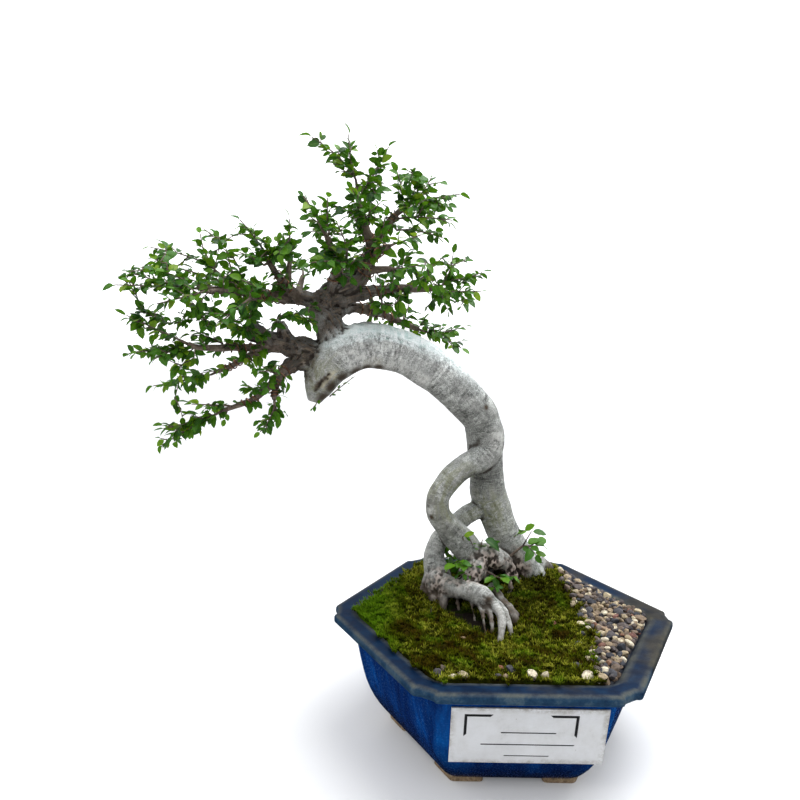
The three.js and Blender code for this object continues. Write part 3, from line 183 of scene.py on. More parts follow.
# Regions of the bark: place in millimetres and reach. The groove runs up the end of the arch.
GROOVE = [
    ((-164, 13, 287), 3.4), ((-162.5, 12, 290), 4.4), ((-160.5, 11, 293), 4.8), ((-158, 10, 295.5), 4.2),
    ((-155, 9, 298), 4.6), ((-152.5, 8.5, 301), 3.4),
]
GREEN_BARK = [((-164, 12, 300), 32), ((-140, 10, 285), 22), ((-44, 30, 196), 40), ((-8, 50, 170), 34)]
CREAM_BARK = [((-153, 8, 295), 8), ((-149, 7, 300), 9), ((-156, 10, 289), 7), ((-112, 12, 306), 14)]
BROWN_BARK = [
    ((-174, 20, 333), 30), ((-158, 28, 362), 38), ((-188, 24, 324), 34), ((-214, 18, 331), 32),
    ((-134, 36, 374), 38), ((-182, 36, 366), 34), ((-126, 48, 354), 34), ((-122, 28, 392), 34),
    ((-186, 20, 308), 30), ((-150, 22, 345), 20), ((-170, 18, 318), 17), ((-3, 14, 110), 9),
    ((3, 4, 106), 10), ((8, -6, 102), 10), ((9, -13, 97), 9), ((-18, -14, 103), 10), ((-18, -25, 98), 9),
    ((-13, -22, 102), 7), ((-12, -31, 95), 7), ((-27, -2, 101), 10), ((-50, 19, 98), 9),
    ((-36, 14, 101), 9), ((52, 78, 104), 24), ((18, 50, 112), 20), ((-13, -4, 112), 7),
    ((-66, 32, 104), 13), ((10, 34, 108), 14), *((place, reach * 0.9) for place, reach in GROOVE),
]
WHITE_BARK = [
    ((-98, 18, 304), 20), ((-124, 12, 314), 22), ((-76, 22, 296), 16), ((-4, 44, 240), 14),
    ((-62, 26, 180), 6), ((-6, -30, 101), 5), ((2, -28, 101), 4), ((-36, 12, 114), 6),
]
# Dark knots, and painted shade along the underside of the arch, in a crevice by the hollow and in the groove:
# place and reach.
DARK_KNOTS_AND_SHADE = [
    ((-16, 38, 272), 3.6), ((-62, 26, 175), 3.4), ((-157, 17, 280), 10), ((-150, 16, 290), 9.5),
    ((-142, 17, 299), 9), ((-131, 20, 304.5), 8.5), ((-121, 22, 306.5), 8), ((-111, 24, 306.5), 7),
    ((-13, -4, 113), 3.2), *((place, reach * 0.45) for place, reach in GROOVE),
]
FOOT_BARK = [((-8, 38, 128), 26), ((-26, 24, 118), 22), ((-52, 30, 108), 22), ((14, 50, 116), 26)]

# Leafy sprays: where the twig leaves the wood, and the tip of each shoot on it, in millimetres.
SPRAYS = {
    "spray_left_top": ([-256, 54, 386], [[-316, 32, 405], [-274, 66, 428]]),
    "spray_left_top_inner": ([-240, 48, 384], [[-242, 27, 411]]),
    "spray_left_tip": ([-262, 6, 370], [[-329, -14, 371], [-323, 8, 385]]),
    "spray_left_near": ([-246, -26, 367], [[-285, -44, 355]]),
    "spray_left_far": ([-250, 62, 376], [[-306, 72, 390]]),
    "spray_left_front": ([-211, -28, 362], [[-238, -46, 336]]),
    "spray_left_mid": ([-269, -8, 328], [[-322, -4, 351]]),
    "spray_left_mid_low": ([-266, 2, 322], [[-330, 24, 313], [-288, -36, 311]]),
    "spray_left_low": ([-258, 38, 296], [[-321, 50, 282]]),
    "spray_left_inner": ([-240, 6, 326], [[-272, 22, 338]]),
    "spray_low_front": ([-232, -8, 276], [[-267, -22, 279]]),
    "spray_low_tip": ([-243, 0, 268], [[-296, -2, 253], [-302, 20, 232]]),
    "spray_low_inner": ([-205, -4, 288], [[-216, -27, 299]]),
    "spray_low_near": ([-194, 0, 303], [[-202, -32, 314]]),
    "spray_hanging": ([-197, 5, 275], [[-213, -8, 248], [-184, 22, 268]]),
    "spray_left_back": ([-214, 58, 362], [[-245, 82, 352]]),
    "spray_left_mid_front": ([-204, -4, 369], [[-221, -34, 380]]),
    "spray_left_up": ([-206, 17, 399], [[-231, 8, 432]]),
    "spray_left_up_front": ([-206, 10, 390], [[-228, -14, 401]]),
    "spray_left_rise": ([-188, 31, 401], [[-188, 26, 438]]),
    "spray_upright": ([-158, 0, 419], [[-177, -8, 450]]),
    "spray_upright_front": ([-151, -8, 415], [[-149, -36, 446]]),
    "spray_top": ([-132, 14, 460], [[-176, 22, 498], [-138, 12, 504]]),
    "spray_top_right": ([-125, 19, 452], [[-102, 26, 496]]),
    "spray_leader_front": ([-120, 2, 424], [[-137, -20, 455], [-116, -34, 432]]),
    "spray_crown_up": ([-94, 61, 449], [[-102, 64, 484]]),
    "spray_crown_tip": ([-82, 68, 453], [[-65, 86, 482]]),
    "spray_crown_right": ([-79, 60, 450], [[-37, 46, 456]]),
    "spray_crown_near": ([-96, 48, 434], [[-44, 26, 430]]),
    "spray_crown_back": ([-98, 68, 426], [[-48, 92, 420]]),
    "spray_front_up": ([-137, -8, 400], [[-145, -46, 424]]),
    "spray_front": ([-140, -10, 392], [[-168, -46, 389]]),
    "spray_leader_near": ([-99, 0, 409], [[-72, -24, 417]]),
    "spray_leader_right": ([-96, 20, 390], [[-74, -6, 394]]),
    "spray_right_tip": ([-58, 62, 377], [[-12, 78, 389], [-47, 60, 416]]),
    "spray_right_near": ([-62, 48, 373], [[-15, 34, 374], [-58, 26, 361]]),
    "spray_right_back": ([-90, 86, 350], [[-84, 98, 368]]),
    "spray_right_low": ([-71, 84, 336], [[-24, 92, 344], [-28, 74, 317]]),
    "spray_right_inner": ([-110, 42, 364], [[-112, 22, 352]]),
    "spray_neck": ([-166, 14, 358], [[-166, -16, 349]]),
    "spray_back_left": ([-181, 64, 387], [[-194, 104, 402]]),
    "spray_back_far_left": ([-228, 75, 371], [[-256, 99, 366]]),
    "spray_back_crown": ([-146, 67, 404], [[-154, 104, 424]]),
    "spray_back_right": ([-122, 84, 369], [[-134, 112, 374]]),
}
# Young shoots at the foot of the trunk, with the size of their leaves against the others.
BASE_SHOOTS = {
    "shoot_trunk_foot": ([24, 46, 143], [[48, 38, 148]]),
    "shoot_loop_foot": ([-34, 26, 134], [[-46, 6, 138]]),
    "shoot_root_front": ([-4, 28, 121], [[6, 4, 128]]),
}
YOUNG_SIZE = 1.3
# More young shoots on the roots, the arch and the moss: foot, tip and size.
LOW_SHOOTS = [
    ([-20, 30, 130], [-30, 14, 137], 1), ([10, 34, 118], [14, 16, 125], 1),
    ([-8, 22, 114], [-2, 4, 118], 1), ([16, 50, 150], [30, 40, 164], 1.1),
    ([-26, 26, 124], [-40, 10, 128], 0.9), ([-160, 20, 280], [-169, 14, 268], 0.5),
    ([-152, 16, 282], [-128, 14, 302], 0.45), ([-8, 48, 136], [-10, 30, 151], 1.1),
    ([-38, 56, 116], [-42, 64, 150], 1), ([-34, 58, 116], [-50, 60, 138], 1),
    ([-30, 62, 112], [-36, 66, 132], 1), ([-20, 40, 140], [-29, 24, 160], 0.8),
    ([-38, 60, 100], [-46, 56, 130], 1), ([-34, 58, 104], [-36, 52, 128], 1),
    ([-112, 32, 96], [-118, 26, 107], 0.5), ([-105, 38, 97], [-103, 30, 108], 0.5),
    ([-92, 58, 98], [-90, 50, 108], 0.5), ([-62, -2, 98], [-62, -8, 108], 0.42),
]
LOW_SHOOT_SIZE = 0.8
# Broad single leaves: foot of the stalk, foot of the blade, direction of the blade, size and tint.
BROAD_LEAVES = [
    ([-16, 44, 134], [-15, 35, 152], (1, -0.1, -0.28), 1.8, 0.2),
    ([24, 50, 140], [29, 36, 160], (1, -0.2, 0.1), 1.3, 0.35),
    ([-30, 42, 140], [-34, 25, 158], (1, -0.3, 0.5), 1.1, 0.9),
]
TWIG = {
    "radius": 0.95, "tip": 0.45, "thin": 0.7, "bend": 0.35, "sway": 2.2, "long": 40, "step": 2.5,
    "short_by": 0.8, "least": 0.4, "first_leaf": 0.35, "root": 1.4, "foot": 1.05, "along": 0.3,
    "upright": 0.2, "broad_foot": 0.8, "broad_end": 0.5,
}
LEAF = {
    "length": 9.2, "width": 6, "stalk": 1.2, "gap": 4.4, "fold": 0.25, "droop": 0.36, "twist": 0.25,
    "least": 0.68, "most": 1.22, "end": 0.86, "sweep": 0.3, "stalk_foot": 0.35, "stalk_end": 0.28,
    "end_turn": 0.15,
}
# How leaves differ: shares of the fold and droop, roll about the twig and spread from it in radians, how
# far they point down, and how their upper sides lean, as a middle and a spread for x, y and z.
LEAF_CHANCE = {
    "fold": (0.3, 1.6), "droop": (0.1, 2), "roll": 0.5, "spread": (0.55, 1.15), "fall": (-0.3, 0.35),
    "lean": ((0, 0.4), (-0.15, 0.4), (0.2, 0.3)),
}
# Tints from dark green at 0 to yellow green at 1.
TINT = {"middle": 0.41, "spread": 0.2, "bright": (0.75, 1), "bright_share": 0.12, "young": (0.38, 0.82)}
TWIGLET = {
    "chance": 0.8, "least": 9, "most": 21, "gap": 4, "size": 0.9, "ahead": 0.75, "side": (0.6, 1.1),
    "up": (-0.35, 0.5),
}
# Rounded masses of the canopy: the middle and half sizes in millimetres, and the number of twigs in each.
CANOPY = {
    "canopy_left": [
        ((-284, 22, 386), (44, 50, 24), 34), ((-258, 30, 414), (18, 40, 12), 7),
        ((-299, 8, 334), (27, 36, 22), 16), ((-272, 10, 352), (44, 38, 18), 24),
        ((-236, 0, 348), (20, 28, 16), 10), ((-247, 14, 343), (24, 44, 20), 16),
        ((-265, 14, 300), (32, 34, 13), 9), ((-262, 0, 266), (32, 22, 12), 5),
    ],
    "canopy_middle": [
        ((-215, 22, 380), (36, 52, 26), 36), ((-200, 22, 414), (34, 44, 20), 14),
        ((-202, 2, 280), (20, 26, 26), 12), ((-209, 14, 314), (20, 26, 12), 8),
        ((-164, 8, 346), (14, 16, 12), 5), ((-208, 0, 346), (24, 24, 14), 12),
        ((-192, 12, 396), (34, 36, 20), 16), ((-226, 4, 332), (14, 20, 10), 8),
        ((-212, -8, 336), (16, 14, 12), 10), ((-180, 0, 352), (16, 16, 10), 7),
    ],
    "canopy_crown": [
        ((-131, 22, 398), (44, 52, 30), 52), ((-112, 36, 444), (42, 48, 24), 40),
        ((-68, 56, 450), (27, 38, 25), 22), ((-150, 10, 430), (24, 40, 20), 12),
        ((-82, 60, 466), (26, 30, 18), 15), ((-96, 50, 472), (22, 28, 14), 9),
        ((-150, 4, 390), (22, 30, 18), 12),
    ],
    "canopy_right": [
        ((-68, 46, 388), (42, 48, 27), 42), ((-82, 74, 346), (46, 30, 18), 22),
        ((-110, 34, 366), (26, 36, 14), 16), ((-58, 48, 366), (38, 34, 14), 14),
    ],
}
CANOPY_TWIG = {"least": 7, "most": 34, "gap": 4.6, "inside": 8, "crowding": 0.4, "rise": (-0.2, 0.5)}
SPUR = {"gap": 8, "loose": 3, "least": 8, "most": 24, "size": 0.92, "rise": 0.35, "ahead": 0.5}
# How far along the blade each pair of edge points lies, and the half width there.
BLADE = [(0, 0), (0.1, 0.55), (0.24, 0.88), (0.4, 1), (0.56, 0.98), (0.72, 0.82), (0.87, 0.5), (1, 0)]
TOOTH = 0.05

# Pot: height, radius to the sharp corner, corner cut and step of the corner, in millimetres.
POT_SKIN = [
    (3, 91, 5, 0), (3.2, 93.5, 5, 0), (4.4, 96, 5, 0), (8, 100, 5, 0), (12, 103.7, 5.5, 0),
    (17, 107.8, 6, 0), (23, 111.9, 6.5, 0), (30, 115.7, 7, 0), (37, 118.6, 7, 0), (45, 121.1, 7.5, 0),
    (58, 124.4, 8, 0), (72, 127.4, 8, 0), (82, 129.5, 8, 0), (88, 131.6, 8, 0), (90.4, 134, 8, 0.4),
    (91, 139, 9, 1.4), (91.1, 146, 10, 2.1), (91.5, 148.4, 10, 2.1), (92.6, 149.7, 10, 2.1),
    (95, 150, 10, 2.1), (97, 149.8, 10, 2.1), (98.3, 149, 10, 2.1), (98.9, 147.4, 10, 2),
    (99, 144, 10, 1.6), (98.7, 136, 10, 0.6), (98.4, 131.5, 10, 0), (97.4, 128.8, 10, 0),
    (95, 126.6, 10, 0), (92, 124.8, 10, 0), (86, 120.6, 9, 0), (70, 117, 9, 0), (30, 106, 9, 0),
    (18, 98, 8, 0), (10.5, 91, 8, 0), (9, 86, 8, 0),
]
POT = {"floor": 9, "base": 3, "drain_radius": 8, "drain_x": 45, "wall_radius": 127.5}
# Where the rim is marked, by height and radius: both edges of the rim, rubbed and with a painted highlight,
# and its outer lip, with a painted sheen.
RIM_WEAR_AND_SHEEN = {"edge_z": 98, "outer": 147, "lip_z": 97, "inner": 132, "lip": 148.2, "lip_top": 98.5}
# The pot's corners: how a plain one bulges, how a stepped one stands in, and how both are eased.
CORNER = {"stepped": 0.6, "swell": 0.22, "shoulder": 0.7, "least_step": 0.3, "inner": 0.5, "ease": 2.4}
FEET = {"reach": 25, "width": 11, "radius": 95.5, "top": 4.5, "ease": 3}
PLATE = {"width": 113, "height": 50.5, "thickness": 1.2, "slope": 0.25, "x": 4.5, "z": 55.2, "gap": 0.35}
# The plate's grid of points, and how far its stains reach in from its edges, and more so at the right.
PLATE_GRID = (48, 22)
PLATE_STAIN = {"reach": 4.5, "right": 1.2}
PLATE_WALL = ((30, 116.5), (82, 129.5))
BRACKET = {"left": 9.6, "right": 21.5, "down": 5.4, "across": 20.5, "drop": 20, "thick": 2, "high": 0.12}
# Plain ruled lines on the plate: height above its middle, length and thickness.
RULES = [(3.5, 40, 0.8), (-7.5, 68, 0.8), (-18, 33, 0.6)]
SCREEN = {"radius": 13, "bottom": 9.35, "thickness": 0.8, "pitch": 2.4, "wire": 0.35, "rim": 0.4}

# Ground: level at the pot's wall, mounds, and the line between moss and gravel from the back to the front.
GROUND = {"wall_level": 88, "slope": 17, "rise": 2, "edge": 127, "heap": 7.2, "heap_reach": 62, "skirt": 90}
# How far the moss and the gravel each stop from the line between them.
PARTED = 0.6
MOUNDS = [(28, 60, 15, 36), (-18, 14, 4, 34)]
GRAVEL_LINE = [
    (66, 130), (64, 96), (71, 70), (69, 42), (77, 14), (72, -18), (75, -44), (63, -70), (60, -96),
    (54, -130),
]
MOSS = {
    "thickness": 4, "cell": 1.6, "tufts": 16500, "height": 4.8, "blade": 1.1, "over": 6, "brim": 98.2,
    "across": (-133, 77), "deep": (-118, 112), "depth": 109, "bare": 0.93, "brim_shade": 0.4,
    "brim_width": 3,
}
# Swells of the moss cushion: height, cell and which noise; and how deep it is sunk, all over and when bare.
SWELLS = [(3.4, 6.5, 3), (1.3, 3, 8)]
MOSS_SUNK = {"all": 0.6, "hollow": 4.4}
# How far moss laps over the rim: the noise's cell, its gain and bias, and the least share.
LAP = {"cell": 9, "gain": 1.5, "bias": 0.45, "least": 0.3}
# Tones of the moss: where it is fresh or dry, its painted shade in a dip or near the trunk, and how much each
# counts.
MOSS_TONE = {
    "cushion": 0.3, "cushion_shade": 0.75, "dry": 0.85, "fresh": 0.85, "fresh_x": (74, 112), "patch": 0.6,
    "patch_cell": 16, "patch_from": (0.1, 0.5), "trunk": (5, 45), "trunk_reach": (34, 62),
    "trunk_shade": 0.6, "dip_shade": 0.75, "dip_from": (-0.05, 0.4), "lit": 0.35,
}
TUFT = {
    "blades": 5, "size": (0.5, 1.2), "loose": 0.3, "width": (0.6, 1.1), "height": (0.6, 1),
    "open": (0.4, 0.75), "middle_out": 0.2, "middle_up": 0.55, "tints": 0.2, "middle_shade": 0.6,
}
# Brown dry patches of the moss: x, y and reach.
DRY_MOSS = [(-86, -40, 20), (-34, -42, 17), (-48, -72, 22), (-66, -92, 18), (20, -62, 13), (44, -34, 12)]
GRAVEL = {
    "thickness": 3.2, "stones": 480, "least": 2.2, "most": 5, "tries": 60000, "closeness": 0.78,
    "across": (50, 127), "deep": (-109, 109), "depth": 109.5, "stray": 8, "rise": 2.2, "layer": 2,
    "uneven": (-0.5, 0.8), "over_edge": 0.7, "loose_rise": 0.25, "cell": 3, "sunk": 1.2, "bed_tone": 0.05,
}
# Each stone: its proportions, tilt in radians, flat cuts, roughness, and the spread of tones.
PEBBLE = {
    "long": (0.85, 1.3), "wide": (0.7, 1.05), "high": (0.5, 0.85), "tilt": 1.2, "cuts": 7,
    "cut": (0.56, 0.88), "rough": 0.04, "rough_scale": 2.2, "paler": 0.85, "red": 0.55, "red_share": 0.05,
}
# Stones that lie by themselves: x, y, radius, tone and redness.
LOOSE_STONES = [
    (-52, -106, 3.6, 0.96, 0), (-44, -104, 4, 0.9, 0), (-62, -102, 4.2, 0.3, 0), (-58, -98, 3, 0.5, 0),
    (-14, -95, 3.6, 0.5, 0.9), (-9, -100, 4, 0.12, 0), (5, -104, 5.2, 0.95, 0), (15, -105, 4.8, 0.93, 0),
    (-19, -107, 2.4, 0.3, 0), (-14, -107, 2.4, 0.75, 0), (46, -105, 5.4, 0.96, 0), (56, -106, 4, 0.8, 0),
    (53, -79, 4, 0.9, 0), (42, -89, 4, 0.2, 0), (71, 3, 3.4, 0.93, 0), (65, 15, 3.2, 0.85, 0),
    (77, 36, 3.8, 0.78, 0), (70, -16, 4.2, 0.82, 0), (-43, -37, 2.2, 0.97, 0), (-38, -41, 2.6, 0.75, 0.2),
    (41, -11, 3.4, 0.55, 0.8), (61, -34, 3.6, 0.2, 0), (52, -54, 3, 0.3, 0), (60, -96, 4.4, 0.96, 0),
]
# Soil below the ground: height and radius of its rings down to the floor.
SOIL = {"around": 96, "rings": 30, "radius": 124, "crumb": 0.7, "bottom": 12}
SOIL_SIDES = [(70, 116), (30, 105), (12, 92)]
# Bare hollow under the raised root, sunk and given painted shade: x, y and reach of its rounds.
HOLLOWS = [(-42, 10, 13), (-32, -2, 15), (-24, -14, 14), (-16, -24, 11)]
# Distance to the rim of the moss or gravel, in millimetres, for places well inside it.
INSIDE = 99

# Training wire: the branch it is wound on, the stretch as point numbers, its turns and start angle.
WIRE = {"radius": 0.6, "clear": 0.05, "swell": 1.08, "step": 1.5, "sides": 16}
WIRES = {
    "wire_crown": ("crown", 1.3, 3.1, 4, 0.4),
    "wire_left": ("left_long", 1.15, 2.7, 4, 2.2),
    "wire_lower": ("lower", 3.75, 4.8, 3, 1.1),
    "wire_right": ("right", 0.75, 2.2, 5, 0.2),
}
MORE_WIRES = [
    ("leader", 1.2, 3.6, 6, 0.9), ("upright", 1.1, 2.7, 4, 1.6), ("left", 3.1, 4.9, 6, 0.3),
    ("left_front", 0.9, 2.8, 7, 2.6), ("right_low", 1.1, 2.6, 5, 0.7), ("left_low", 0.8, 2.4, 5, 1.9),
    ("left_near", 0.4, 1.6, 5, 0.5), ("left_up", 0.8, 2.2, 4, 2.9), ("crown", 3.4, 4.9, 5, 1.2),
    ("hanging", 0.5, 1.7, 4, 0.1), ("lower", 1.6, 3.2, 4, 2.2), ("leader_front", 0.5, 1.6, 3, 1.4),
]

# Sky: height of the direction and tone there, from below the floor to overhead.
SKY = [(0, (0.02, 0.02, 0.025)), (0.01, (0.4, 0.41, 0.43)), (1, (1.1, 1.13, 1.2))]
# Lamps, all turned to the heart of the tree: place and width in metres, power in watts and tint.
HEART = (-0.08, 0.02, 0.25)
LAMPS = {
    "overhead": ((0.3, 0.25, 1.6), 1.3, 23, (0.97, 0.99, 1)),
    "side": ((0.95, 0.45, 1.1), 0.9, 8, (0.97, 0.99, 1)),
    "key": ((-0.9, -0.8, 1.4), 0.7, 6, (1, 0.98, 0.95)),
}
# Stage in metres: the sweep that rises behind the part, and the wide ground just under it.
SWEEP = {"half": 4.0, "front": -3.0, "back": 1.5, "bend": 1.0, "steps": 12, "top": 5.0}
WIDE_GROUND = {"half": 30, "level": -0.002}


class Shape:
    """Points and faces gathered for one object, with the values that its points and faces carry."""

    def __init__(self):
        self.points = []
        self.faces = []
        self.kinds = []
        self.values = {}

    def add(self, points, faces, kind=0, **values):
        first = len(self.points)
        self.points.extend(points)
        self.faces.extend([tuple(first + i for i in face) for face in faces])
        self.kinds.extend([kind] * len(faces))
        for name, value in values.items():
            column = self.values.setdefault(name, [])
            column.extend([(0, 0, 0)] * (first - len(column)))
            column.extend(value if isinstance(value, list) else [value] * len(points))

    def mesh(self, name):
        mesh = bpy.data.meshes.new(name)
        mesh.from_pydata([tuple(p) for p in self.points], [], self.faces)
        mesh.polygons.foreach_set("material_index", self.kinds)
        mesh.polygons.foreach_set("use_smooth", [True] * len(self.faces))
        for key, column in self.values.items():
            column.extend([(0, 0, 0)] * (len(self.points) - len(column)))
            store(mesh, key, column)
        mesh.update()
        return mesh

    def piece(self, name, materials, slot, replaced=()):
        return piece(name, self.mesh(name), materials, replaced)


def store(mesh, name, column):
    """Keeps one vector per point on a mesh, for the materials to read."""
    attribute = mesh.attributes.new(name, "FLOAT_VECTOR", "POINT")
    attribute.data.foreach_set("vector", [part for value in column for part in value])


def placed(name, data):
    """An object with this mesh, lamp or camera, in the scene."""
    made = bpy.data.objects.new(name, data)
    bpy.context.collection.objects.link(made)
    return made


def piece(name, mesh, materials, replaced=()):
    """Shows a mesh as a piece of the object, in place of the named nodes."""
    made = placed(name, mesh)
    for material in materials:
        made.data.materials.append(material)
    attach(made, "root")
    if replaced:
        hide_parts(*replaced)
    return made


def smoothstep(value, low, high):
    """Eases from 0 to 1 as a value goes from low to high."""
    share = min(max((value - low) / (high - low), 0), 1)
    return share * share * (3 - 2 * share)


def spline(points, step):
    """Points of a smooth curve through x, y, z and radius, in millimetres, about a step apart."""
    knots = [Vector(p) for p in points]
    knots = [2 * knots[0] - knots[1], *knots, 2 * knots[-1] - knots[-2]]
    line = []
    for a, b, c, d in zip(knots, knots[1:], knots[2:], knots[3:]):
        count = max(1, round((c.xyz - b.xyz).length / step))
        for i in range(count):
            t = i / count
            bend = 2 * b + (c - a) * t + (2 * a - 5 * b + 4 * c - d) * t**2 + (3 * b - a - 3 * c + d) * t**3
            line.append(bend / 2)
    line.append(knots[-2])
    return line


def frames(line):
    """Direction, side and other side at each point of a line, turning as little as possible."""
    last = len(line) - 1
    side = Vector((0, 1, 0.2))
    result = []
    for i in range(len(line)):
        ahead = (line[min(i + 1, last)].xyz - line[max(i - 1, 0)].xyz).normalized()
        side = (side - ahead * side.dot(ahead)).normalized()
        result.append((ahead, side, ahead.cross(side)))
    return result


def tube(shape, line, sides, kind=0, turns=None, **values):
    """A closed round tube along points with radii, in millimetres."""
    places = []
    for point, (_, side, other) in zip(line, turns or frames(line)):
        for k in range(sides):
            turn = 2 * math.pi * k / sides
            out = side * math.cos(turn) + other * math.sin(turn)
            places.append((point.xyz + out * point.w) * MM)
    places.append(line[0].xyz * MM)
    places.append(line[-1].xyz * MM)
    faces = []
    for level in range(len(line) - 1):
        for k in range(sides):
            a = level * sides + k
            b = level * sides + (k + 1) % sides
            faces.append((a, b, b + sides, a + sides))
    top = (len(line) - 1) * sides
    for k in range(sides):
        after = (k + 1) % sides
        faces.append((len(places) - 2, after, k))
        faces.append((len(places) - 1, top + k, top + after))
    shape.add(places, faces, kind, **values)


def ring_faces(levels, count, first=0):
    """Faces between closed rings of points, one ring a level."""
    faces = []
    for level in range(levels - 1):
        for k in range(count):
            a = first + level * count + k
            b = first + level * count + (k + 1) % count
            faces.append((a, a + count, b + count, b))
    return faces


def grid_faces(columns, rows, first=0, back=False):
    """Faces of a grid of points, row by row, turned over where back is set."""
    row = columns + 1
    faces = []
    for j in range(rows):
        for i in range(columns):
            a = first + j * row + i
            faces.append((a, a + row, a + row + 1, a + 1) if back else (a, a + 1, a + row + 1, a + row))
    return faces


def level_turn(turn):
    """The level direction at an angle."""
    return Vector((math.cos(turn), math.sin(turn), 0))


def rounded(outline, ease, steps):
    """A closed outline with each corner eased by a short curve."""
    result = []
    count = len(outline)
    for i, corner in enumerate(outline):
        before = outline[i - 1] - corner
        after = outline[(i + 1) % count] - corner
        start = corner + before.normalized() * min(ease, before.length * 0.45)
        end = corner + after.normalized() * min(ease, after.length * 0.45)
        for k in range(steps + 1):
            t = k / steps
            result.append(start * (1 - t) ** 2 + corner * 2 * t * (1 - t) + end * t**2)
    return result


class Paint:
    """A material's nodes, with short names for the ones that the materials share."""

    def __init__(self, name):
        self.material = bpy.data.materials.new(name)
        self.material.use_nodes = True
        self.tree = self.material.node_tree
        self.shader = self.tree.nodes["Principled BSDF"]

    def node(self, kind, inputs=None, **settings):
        made = self.tree.nodes.new(kind)
        for key, value in settings.items():
            setattr(made, key, value)
        self.fill(made, inputs or {})
        return made

    def fill(self, node, inputs):
        for key, value in inputs.items():
            if isinstance(value, bpy.types.NodeSocket):
                self.tree.links.new(value, node.inputs[key])
            else:
                node.inputs[key].default_value = value

    def place(self):
        return self.node("ShaderNodeTexCoord").outputs["Object"]

    def stored(self, name):
        return self.node("ShaderNodeAttribute", attribute_name=name).outputs["Vector"]

    def part(self, vector, axis):
        return self.node("ShaderNodeSeparateXYZ", {"Vector": vector}).outputs[axis]

    def stretched(self, vector, scale):
        return self.node("ShaderNodeMapping", {"Vector": vector, "Scale": scale}).outputs["Vector"]

    def noise(self, vector, scale, detail=5, roughness=0.6, distortion=0):
        settings = {"Vector": vector, "Scale": scale, "Detail": detail, "Roughness": roughness}
        return self.node("ShaderNodeTexNoise", {**settings, "Distortion": distortion}).outputs["Fac"]

    def cells(self, vector, scale, feature="F1"):
        made = self.node("ShaderNodeTexVoronoi", {"Vector": vector, "Scale": scale}, feature=feature)
        return made.outputs["Distance"]

    def ramp(self, value, *stops):
        made = self.node("ShaderNodeValToRGB", {"Fac": value})
        ramp = made.color_ramp
        while len(ramp.elements) < len(stops):
            ramp.elements.new(1)
        for element, (place, tone) in zip(ramp.elements, stops):
            element.position = place
            element.color = (*tone, 1) if isinstance(tone, tuple) else (tone, tone, tone, 1)
        return made.outputs["Color"]

    def mix(self, share, first, second, mode="MIX"):
        made = self.node("ShaderNodeMix", data_type="RGBA", blend_type=mode)
        for key, value in ((0, share), (6, first), (7, second)):
            if isinstance(value, bpy.types.NodeSocket):
                self.tree.links.new(value, made.inputs[key])
            else:
                made.inputs[key].default_value = (*value, 1) if isinstance(value, tuple) else value
        return made.outputs[2]

    def overlay(self, share, tone, value, *stops):
        """Lightens and darkens a tone by a noise."""
        return self.mix(share, tone, self.ramp(value, *stops), "OVERLAY")

    def math(self, operation, first, second):
        return self.node("ShaderNodeMath", {0: first, 1: second}, operation=operation).outputs[0]

    def times(self, first, second):
        return self.math("MULTIPLY", first, second)

    def bump(self, height, strength, distance, under=None):
        inputs = {"Height": height, "Strength": strength, "Distance": distance}
        if under:
            inputs["Normal"] = under
        return self.node("ShaderNodeBump", inputs).outputs["Normal"]

    def finish(self, **inputs):
        self.fill(self.shader, {key.replace("_", " "): value for key, value in inputs.items()})
        return self.material


def bark_material():
    """Grey elm bark: fine specks, faint bands round the limb, the stains of its regions, and painted light: a
    highlight on the arch's top and shade in creases and on undersides.
    """
    paint = Paint("elm_bark")
    place = paint.place()
    grain = paint.stored("grain")
    crease = paint.stored("crease")
    height = paint.part(place, "Z")
    facing = paint.part(crease, "Z")
    streak = paint.noise(paint.stretched(grain, (0.22, 1, 1)), 330, 5, 0.6)
    fibre = paint.noise(paint.stretched(grain, (0.1, 1, 1)), 620, 4, 0.65)
    band = paint.noise(paint.stretched(grain, (1, 0.12, 0.12)), 720, 4, 0.7)
    speck = paint.noise(place, 820, 5, 0.85)
    edge = paint.ramp(paint.noise(place, 160, 6, 0.8), (0.44, 0), (0.56, 1))
    tone = bark_ground(paint, place, height, facing)
    tone = bark_detail(paint, tone, place, streak, band, speck)
    tone = paint.mix(paint.ramp(paint.part(crease, "Y"), (0.25, 0), (1, 0.3)), tone, (0.5, 0.48, 0.45))
    tone = bark_regions_and_shade(paint, tone, streak, fibre, edge)
    foot = paint.part(paint.stored("stain"), "Z")
    tone = bark_of_the_foot(paint, tone, place, foot)
    tone = bark_shadow(paint, tone, height, facing, paint.part(crease, "X"), foot, edge)
    lift = paint.bump(streak, 0.4, 0.0008)
    lift = paint.bump(band, 0.5, 0.0007, lift)
    lift = paint.bump(speck, 0.5, 0.0003, lift)
    rough = paint.ramp(speck, (0.3, 0.95), (0.7, 0.74))
    return paint.finish(Base_Color=tone, Roughness=rough, Normal=lift, IOR=1.4)


def bark_ground(paint, place, height, facing):
    """Clouded grey, darker on the upper trunk, paler on the arch, with a painted highlight on the arch's
    upward faces.
    """
    tone = paint.ramp(
        paint.noise(place, 30, 5, 0.6),
        (0.34, (0.15, 0.153, 0.138)), (0.5, (0.235, 0.24, 0.223)), (0.66, (0.33, 0.335, 0.312)),
    )
    tone = paint.mix(paint.ramp(height, (0.2, 0), (0.245, 0.45)), tone, (0.15, 0.152, 0.138))
    tone = paint.mix(paint.ramp(height, (0.265, 0), (0.315, 0.45)), tone, (0.45, 0.455, 0.435))
    # Painted highlight: upward faces high on the arch made paler and bluer.
    high = paint.ramp(height, (0.28, 0.1), (0.325, 1))
    above = paint.times(paint.ramp(facing, (0.58, 0), (0.88, 0.95)), high)
    return paint.mix(above, tone, (0.78, 0.86, 0.85))


